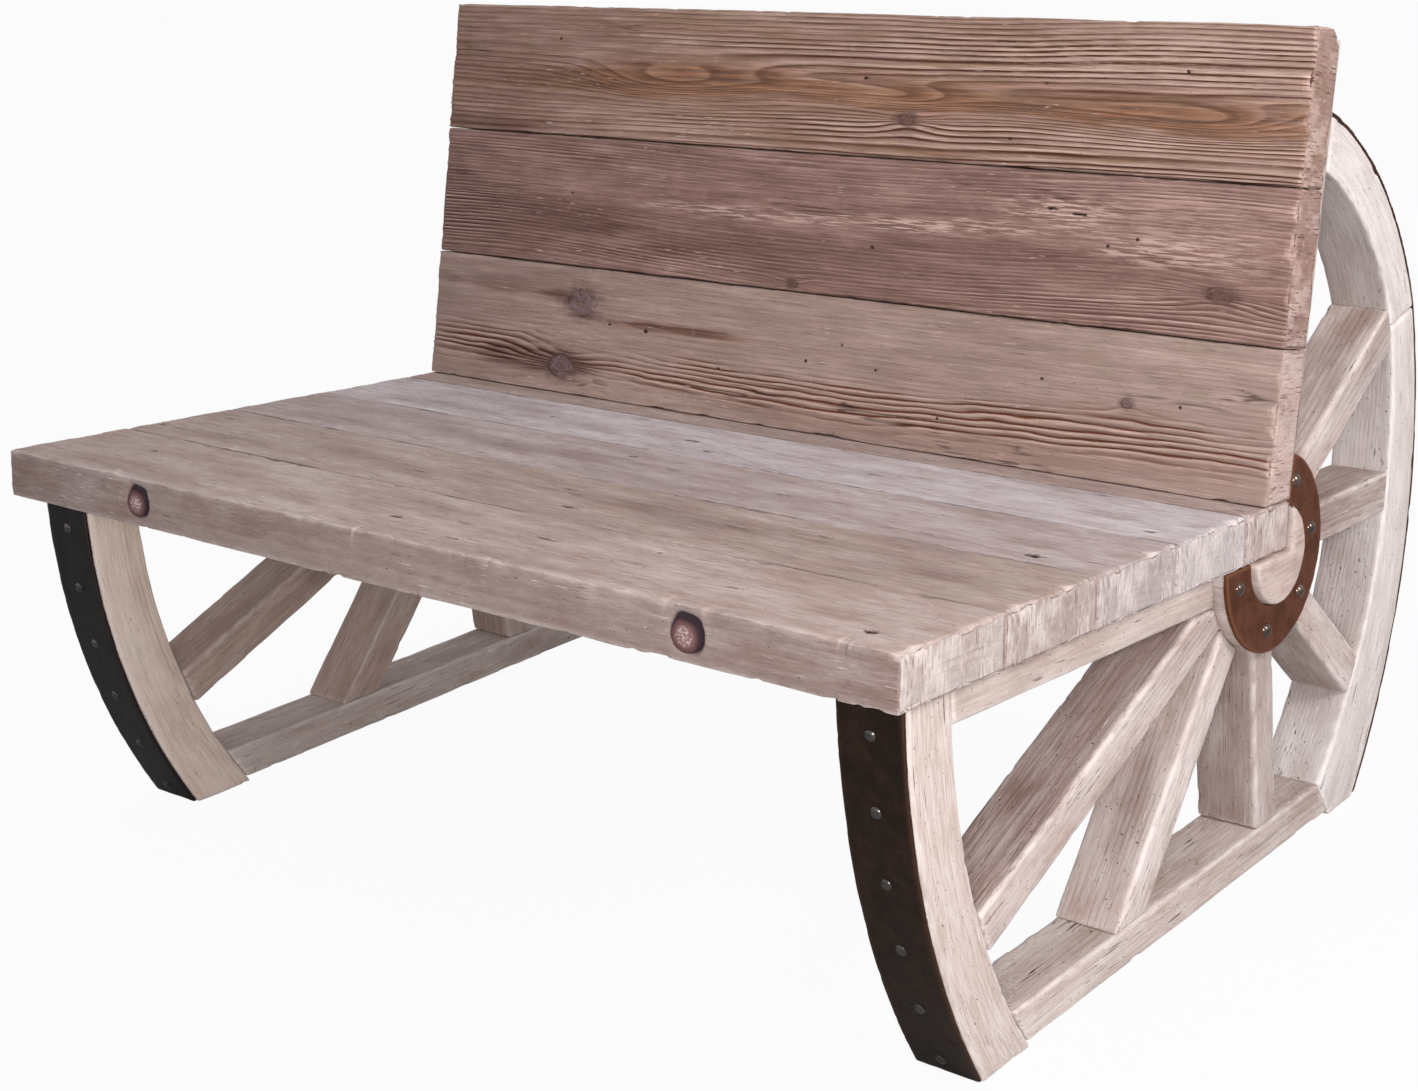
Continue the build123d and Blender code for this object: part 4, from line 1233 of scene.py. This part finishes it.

# %% [markdown]
# ## Bleached oak
# Wheels are made of oak. Years of sun have bleached it to a pale sand grey; open pores show as short
# dark dashes along the grain, and the ring lines are tight and faint. The left wheel's felloe, which
# faces the lamps, is paler and warmer as painted light, and its spokes, in the shade under the seat,
# are darker and browner as painted shade.

# %% Kinds of oak
usual_oak = {"lines": 0.3, "fibres": 0.12, "bump": 0.7, "patch": (60, 3), "bright": "#e6dbd6",
             "mottle": 0.35, "crest": "#d8cbc6", "pits": 0.8, "worn_share": 0.9, "drawn": 0.5}
oak_looks = {  # name, palette, and what differs from the usual oak
    "felloe": ("bleached_oak_felloe", "#c0b0a8 #cabbb4 #b3a299 #8f7c72 #c2b3ab",
               {"fibres": 0.1, "bump": 0.65, "warm": "#a98d80"}),
    "rail": ("bleached_oak_rail", "#bfafa7 #cabcb5 #ad9b92 #8a756b #c2b3ab",
             {"mottle": 0.4, "warm": "#a3887c"}),
    "spoke": ("bleached_oak_spoke", "#c4b4ae #d0c3be #b09f97 #80695f #bfaea6",
              {"lines": 0.35, "bump": 0.75, "bright": "#e6d9d3", "mottle": 0.5, "warm": "#9c7d70",
               "crest": "#dccfca", "pits": 0.9, "worn_share": 0.95}),
    # A darker, browner copy of the spoke oak for the left wheel's spokes: painted shade.
    "shaded": ("shaded_oak_spoke", "#b39d91 #bfab9f #a18b7f #765f54 #bfaea6",
               {"bump": 0.75, "bright": "#d0c2bb", "warm": "#917367", "crest": "#c9bbb5",
                "pits": 0.7, "drawn": 0.4}),
    # A paler, warmer copy of the felloe oak for the left wheel's felloe: painted light.
    "sunny": ("painted_light_oak_felloe", "#dfc8b9 #e7d3c5 #ceb6a6 #9a877b #c2b3ab",
              {"fibres": 0.1, "bump": 0.6, "mottle": 0.3, "warm": "#b3988a", "crest": "#e5d5c9",
               "pits": 0.4}),
    "rear": ("bleached_oak_rim", "#d7cdc9 #e1d9d6 #c8bbb6 #95847c #c2b3ab",
             {"bright": "#ece3df", "mottle": 0.3, "warm": "#ad958b", "crest": "#e4dad6"}),
    "hub": ("bleached_oak_hub", "#bba8a0 #c9b8b0 #a8958c #8c7a71 #bfaea7",
            {"lines": 0.2, "fibres": 0.15, "bump": 0.4, "patch": (40, 1.5), "mottle": 0.4,
             "warm": "#a08474", "bright": "#d8cac4", "crest": "#c8b6ad", "pits": 0.4,
             "worn_share": 0.6, "drawn": 1.0}),
}
oak_kinds = {kind: weathered_wood(name, palette, **{**usual_oak, **own})
             for kind, (name, palette, own) in oak_looks.items()}
print("kinds of oak:", list(oak_kinds))

# %% Make the wheels' wood
oak_tones = {"spoke_2": -0.75, "spoke_3": 0.3, "front_felloe": -0.5, "spoke_1": 0.1, "spoke_5": 0.3,
             "rear_felloe_upper": -0.35, "rear_felloe_lower": -0.15, "bottom_rail": -0.25}
# How much painted shade each piece gets on its faces between the spokes.
oak_soot = {"spoke_1": 0.6, "spoke_2": 0.8, "rear_felloe_upper": 0.6, "rear_felloe_lower": 0.35}
left_kinds = {"felloe": "sunny", "spoke": "shaded"}
for side_number, side in enumerate(("right", "left")):
    for number, (part, grain) in enumerate(wheel_grains.items()):
        seed = 200 + 50 * side_number + 3 * number
        fell = np.random.default_rng(seed)
        pith = (fell.uniform(-160, 160), 560 * (1 - 2 * side_number) + fell.choice((-140, 160)))
        even_tone = side == "left" and "spoke" in part
        timber = Timber(seed, pith, fell.uniform(4.5, 7.0), 5.0, cracks=0.14, relief=0.15, wear=1.5,
                        soot=oak_soot.get(part, 0.05) * (1 - 0.9 * side_number),
                        front_smear=0.0 if even_tone else oak_tones.get(part, 0.0))
        piece = wheel_wood(f"weathered_{part}_{side}", f"{part}_{side}", grain, timber)
        kind = next(k for k in ("rear", "felloe", "spoke", "rail") if k in part)
        if side == "left":
            kind = left_kinds.get(kind, kind)
        dress(piece, oak_kinds[kind])
    timber = Timber(300 + side_number, (axle_y, axle_z), 5.0, 3.0, relief=0.3, wear=2.0)
    hub = wheel_wood(f"weathered_hub_{side}", f"hub_{side}", StraightGrain((0, 0), 0), timber, 3.0)
    dress(hub, oak_kinds["hub"])

# %% [markdown]
# ## Iron
# The tyres are hand-forged strips, blackened by old paint and oil, with brown rust showing at their
# edges. The hub plates have rusted all over to an even red brown, slightly pitted. Both are laid out
# and evened like the wood, then dented by noise.


# %% Forged iron pieces
def forged(name, node, grain, voxel, dent, pit):
    """An iron piece with dents and worn arrises that replaces its node."""
    piece = laid_out(name, node, grain, voxel, smoothing=2)
    mesh = piece.data
    laid = read_points(mesh)
    arris = np.clip(arris_measure(mesh) / (0.12 * voxel), 0, 1)
    dents = np.maximum(fractal_noise(laid / 24, 401), 0) * dent
    pits = smooth_step(0.3, 0.8, lattice_noise(laid / 4.5, 409)) * pit
    nicks = arris * (0.25 + 0.9 * np.maximum(lattice_noise(laid / 14, 419), 0))
    sink = dents + pits + nicks
    write_points(mesh, grain.roll(laid - read_normals(mesh) * sink[:, None]))
    store(piece, edge=arris)
    hand_over(piece, node)
    return piece


def iron(name, palette, roughness, metallic, grit, specular=0.5, pitting=0.4):
    """Iron material from a palette of body, patches and arrises, with specks of a grit in mm."""
    material, add = new_material(name)
    body, patch, edge = palette.split()
    place = add("ShaderNodeTexCoord").outputs["Object"]
    cloud = add("noise", place, 1 / (22 * MM), 5.0, 0.6)
    speck = add("noise", place, 1 / (grit * MM), 3.0, 0.6)
    share = add("ramp", cloud, stops=((0.42, 0.0), (0.66, 1.0)))
    base = add("blend", share, body, patch)
    base = add("tint", 0.8, base, add("ramp", speck, stops=((0.30, 0.72), (0.70, 1.18))))
    worn = add("times", add("stored", attribute_name="edge"), 0.8, use_clamp=True)
    rough = add("plus", add("times", cloud, 0.25), roughness - 0.12, use_clamp=True)
    add("surface", add("ShaderNodeBsdfPrincipled", inputs={
        "Base Color": add("blend", worn, base, edge), "Metallic": metallic, "Roughness": rough,
        "Specular IOR Level": specular, "Normal": add("bumps", speck, pitting, 0.5 * MM)}).outputs[0])
    return material


tyre_irons = {"right": iron("blackened_forged_iron", "#2d221b #3b2b22 #5a3c2c", 0.5, 0.92, 2.5),
              "left": iron("oiled_forged_iron", "#292624 #33302e #483c35", 0.5, 0.92, 2.5)}
rusty_iron = iron("rusted_iron_plate", "#563120 #452516 #6d4632", 0.62, 0.0, 1.6, 0.12)
for side in ("right", "left"):
    front = forged(f"forged_tyre_front_{side}", f"tyre_front_{side}",
                   BentGrain(front_centre, 756.5, 195), 1.7, 0.35, 0.25)
    rear = forged(f"forged_tyre_rear_{side}", f"tyre_rear_{side}",
                  BentGrain(rear_centre, 654.5, 12), 2.4, 0.35, 0.25)
    plate = forged(f"rusty_hub_plate_{side}", f"hub_plate_{side}",
                   StraightGrain(axle_place, 0), 1.6, 0.2, 0.3)
    dress(front, tyre_irons[side])
    dress(rear, tyre_irons[side])
    dress(plate, rusty_iron)

# %% [markdown]
# ## Nails and bolts
# Nineteen domed nails hold each wheel's tyres, and five bolts hold each hub plate. They are the same
# shape again and again, so a Geometry Nodes tree makes one head and shank, and sets a copy on every
# point of a small guide mesh. Hand-made heads are never alike: each copy is turned and sized a little
# differently by seeded random numbers. The guide points are read from the fasteners' own solids.


# %% Guide points from loose solids
def loose_solids(node):
    """Vertex places, in mm, of each separate solid in a CAD node."""
    draft = merged_copy(node)
    waiting = set(draft.verts)
    solids = []
    while waiting:
        reached = [waiting.pop()]
        island = []
        while reached:
            vertex = reached.pop()
            island.append(tuple(vertex.co / MM))
            for other in (e.other_vert(vertex) for e in vertex.link_edges):
                if other in waiting:
                    waiting.remove(other)
                    reached.append(other)
        solids.append(np.array(island))
    draft.free()
    return sorted(solids, key=lambda island: tuple(island.mean(axis=0).round(1)))


def heads_of(node, outward):
    """Top of each head and the way it points, from its solid's own long axis."""
    tops = []
    aims = []
    for island in loose_solids(node):
        middle = island.mean(axis=0)
        spreads, axes = np.linalg.eigh(np.cov((island - middle).T))
        longest = axes[:, np.argmax(spreads)]
        aim = longest * np.sign(longest @ outward(middle))
        tops.append(middle + aim * ((island - middle) @ aim).max())
        aims.append(aim)
    return np.array(tops), np.array(aims)


def from_axle(place):
    """Direction away from the axle in the wheel's plane."""
    flat = place - np.array([place[0], *axle_place])
    return flat / np.linalg.norm(flat)


def sideways(place):
    """Direction out of the bench, to its own side."""
    return np.array([np.sign(place[0]), 0, 0])


print("nails on the right wheel:", len(loose_solids("tyre_nails_right")))

# %% Geometry Nodes tree for domed fasteners
fasteners = bpy.data.node_groups.new("domed_fasteners", "GeometryNodeTree")
fasteners.interface.new_socket("Guide", in_out="INPUT", socket_type="NodeSocketGeometry")
fastener_inputs = {}
for name, kind, value in (
        ("Head Radius", "Float", 0.005), ("Head Height", "Float", 0.0025), ("Shank Radius", "Float", 0.002),
        ("Shank Length", "Float", 0.03), ("Unevenness", "Float", 0.06), ("Seed", "Int", 0),
        ("Metal", "Material", None)):
    socket = fasteners.interface.new_socket(name, in_out="INPUT", socket_type=f"NodeSocket{kind}")
    socket.default_value = value
    fastener_inputs[name] = socket.identifier
fasteners.interface.new_socket("Fasteners", in_out="OUTPUT", socket_type="NodeSocketGeometry")

add = partial(add_node, fasteners)
given = add("NodeGroupInput").outputs
ball = add("GeometryNodeMeshUVSphere", inputs={"Segments": 20, "Rings": 12, "Radius": given["Head Radius"]})
spot = add("ShaderNodeSeparateXYZ", inputs={0: add("GeometryNodeInputPosition").outputs[0]}).outputs
share = add("over", given["Head Height"], given["Head Radius"])
rise = add("times", add("most", spot["Z"], 0.0), share)
flat_spot = add("ShaderNodeCombineXYZ", inputs={"X": spot["X"], "Y": spot["Y"], "Z": rise})
dome = add("GeometryNodeSetPosition", inputs={
    "Geometry": ball.outputs["Mesh"], "Position": flat_spot.outputs[0]})
shank = add("GeometryNodeMeshCylinder", inputs={
    "Vertices": 12, "Radius": given["Shank Radius"], "Depth": given["Shank Length"]})
drop = add("ShaderNodeCombineXYZ", inputs={"Z": add("times", given["Shank Length"], -0.499)})
shank_set = add("GeometryNodeTransform", inputs={
    "Geometry": shank.outputs["Mesh"], "Translation": drop.outputs[0]})
one = add("GeometryNodeJoinGeometry")
fasteners.links.new(dome.outputs[0], one.inputs[0])
fasteners.links.new(shank_set.outputs[0], one.inputs[0])
aim = add("GeometryNodeInputNamedAttribute", inputs={"Name": "aim"}, data_type="FLOAT_VECTOR")
upright = add("FunctionNodeAlignRotationToVector", inputs={"Vector": aim.outputs[0]}, axis="Z")
smallest = add("less", 1.0, given["Unevenness"])
odd = add("FunctionNodeRandomValue", inputs={2: smallest, 3: 1.0, "Seed": given["Seed"]}, data_type="FLOAT")
copies = add("GeometryNodeInstanceOnPoints", inputs={
    "Points": given["Guide"], "Instance": one.outputs[0], "Rotation": upright.outputs[0],
    "Scale": odd.outputs[1]})
real = add("GeometryNodeRealizeInstances", inputs={"Geometry": copies.outputs[0]})
coated = add("GeometryNodeSetMaterial", inputs={"Geometry": real.outputs[0], "Material": given["Metal"]})
add("NodeGroupOutput", inputs={0: coated.outputs[0]})
print("fastener inputs:", list(fastener_inputs))


# %% Set the nails and bolts
def set_fasteners(name, node, outward, metal, slot, seed, **sizes):
    """Run the tree on guide points, keep the result as a plain mesh, and replace the node."""
    tops, aims = heads_of(node, outward)
    guide = mesh_object(name, tops - aims * sizes["Head Height"], [])
    store(guide, aim=aims)
    maker = guide.modifiers.new("fasteners", "NODES")
    maker.node_group = fasteners
    for label, value in sizes.items():
        maker[fastener_inputs[label]] = value * MM
    maker[fastener_inputs["Seed"]] = seed
    maker[fastener_inputs["Metal"]] = metal
    bake_modifiers(guide)
    hand_over(guide, node)


worn_steel = iron("worn_steel_nails", "#514c4b #5f5a59 #77716f", 0.25, 1.0, 1.2, pitting=0.06)
bolt_iron = iron("rusted_iron_bolts", "#5a4d46 #75665d #8f8076", 0.22, 1.0, 1.2, pitting=0.06)
nail_sizes = {"Head Radius": 7.0, "Head Height": 5.4, "Shank Radius": 2.0, "Shank Length": 35.0}
bolt_head = 7.5
for seed, side in enumerate(("right", "left"), start=5):
    set_fasteners(f"domed_tyre_nails_{side}", f"tyre_nails_{side}", from_axle, worn_steel, "nail_steel",
                  seed, **nail_sizes)
    bolt_low, bolt_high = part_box(f"hub_bolts_{side}")
    bolt_sizes = {"Head Radius": 8.4, "Head Height": bolt_head, "Shank Radius": 4.0,
                  "Shank Length": (bolt_high.x - bolt_low.x) / MM - bolt_head}
    set_fasteners(f"domed_hub_bolts_{side}", f"hub_bolts_{side}", sideways, bolt_iron, "screw_steel",
                  seed + 10, **bolt_sizes)

# %% [markdown]
# ## Hidden fasteners
# Screws, dowels, washers and nuts keep their solids, and only get a finish.

# %% Finish the plain solids
plain_steel = iron("zinc_plated_steel", "#8d8a86 #a5a29d #b4b1ac", 0.4, 0.9, 2.0)
dowel_wood, add = new_material("turned_beech_dowel")
dowel_streak = add("noise", add("ShaderNodeTexCoord").outputs["Object"], 1 / (2 * MM), 3.0)
dowel_tone = add("ramp", dowel_streak, stops=((0.35, "#b98f6a"), (0.65, "#cfa983")))
add("surface", add("ShaderNodeBsdfPrincipled", inputs={
    "Base Color": dowel_tone, "Roughness": 0.6, "IOR": 1.45}).outputs[0])
finished = 0
for node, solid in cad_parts.items():
    if solid.hide_render:
        continue
    for place in solid.material_slots:
        place.material = dowel_wood if "dowels" in node else plain_steel
    finished += 1
print("solids that keep their shape:", finished)

# %% [markdown]
# ## Floor, sky and lamps
# The bench stands on white, lit strongly from its right and a little from in front, as beside a wide
# open door. The sky fills the shadows. A diffuse white floor keeps the soft shadow under the seat.

# %% Floor and sky
floor_half = 40.0 / MM
corners = ((-1, -1), (1, -1), (1, 1), (-1, 1))
floor = mesh_object("white_floor", [(x * floor_half, y * floor_half, 0) for x, y in corners], [(0, 1, 2, 3)])
floor_paint, add = new_material("matt_white_floor")
seen = add("times", add("ShaderNodeLightPath").outputs["Is Camera Ray"], 0.95)
matt = add("ShaderNodeBsdfDiffuse", inputs={"Color": (0.5, 0.5, 0.5, 1)})
glow = add("ShaderNodeEmission", inputs={"Color": (1, 1, 1, 1), "Strength": 1.0})
paint = add("ShaderNodeMixShader", inputs={0: seen, 1: matt.outputs[0], 2: glow.outputs[0]})
add("surface", paint.outputs[0])
floor.data.materials.append(floor_paint)

sky = bpy.data.worlds.new("soft_sky")
bpy.context.scene.world = sky
sky.use_nodes = True
sky.node_tree.nodes.clear()
add = partial(add_node, sky.node_tree)
ray = add("ShaderNodeLightPath").outputs
direct = add("most", add("most", ray["Is Camera Ray"], ray["Is Transmission Ray"]), ray["Is Glossy Ray"])
soft = add("ShaderNodeBackground", inputs={"Color": "#eff1f7", "Strength": 0.64})
white = add("ShaderNodeBackground", inputs={"Color": (1, 1, 1, 1), "Strength": 1.0})
mixed = add("ShaderNodeMixShader", inputs={0: direct, 1: soft.outputs[0], 2: white.outputs[0]})
add("ShaderNodeOutputWorld", inputs={"Surface": mixed.outputs[0]})
print("floor and sky:", floor.name, sky.name)


# %% Lamps
def lamp(name, place, target, size, power):
    """Square area lamp at a place in metres, turned towards a target."""
    light = bpy.data.lights.new(name, "AREA")
    light.size = size
    light.energy = power
    holder = bpy.data.objects.new(name, light)
    away = Vector(target) - Vector(place)
    holder.location = place
    holder.rotation_euler = away.to_track_quat("-Z", "Y").to_euler()
    bpy.context.scene.collection.objects.link(holder)


lamp("door_light", (2.7, -0.2, 1.9), (0.3, 0, 0.4), 0.7, 45.0)
lamp("low_light", (1.7, -2.0, 1.0), (0.3, 0, 0.4), 0.5, 31.0)
lamp("high_light", (0.4, -0.5, 3.2), (0.2, 0.0, 0.4), 2.6, 13.0)
bpy.context.scene.view_settings.view_transform = "Standard"

# %% [markdown]
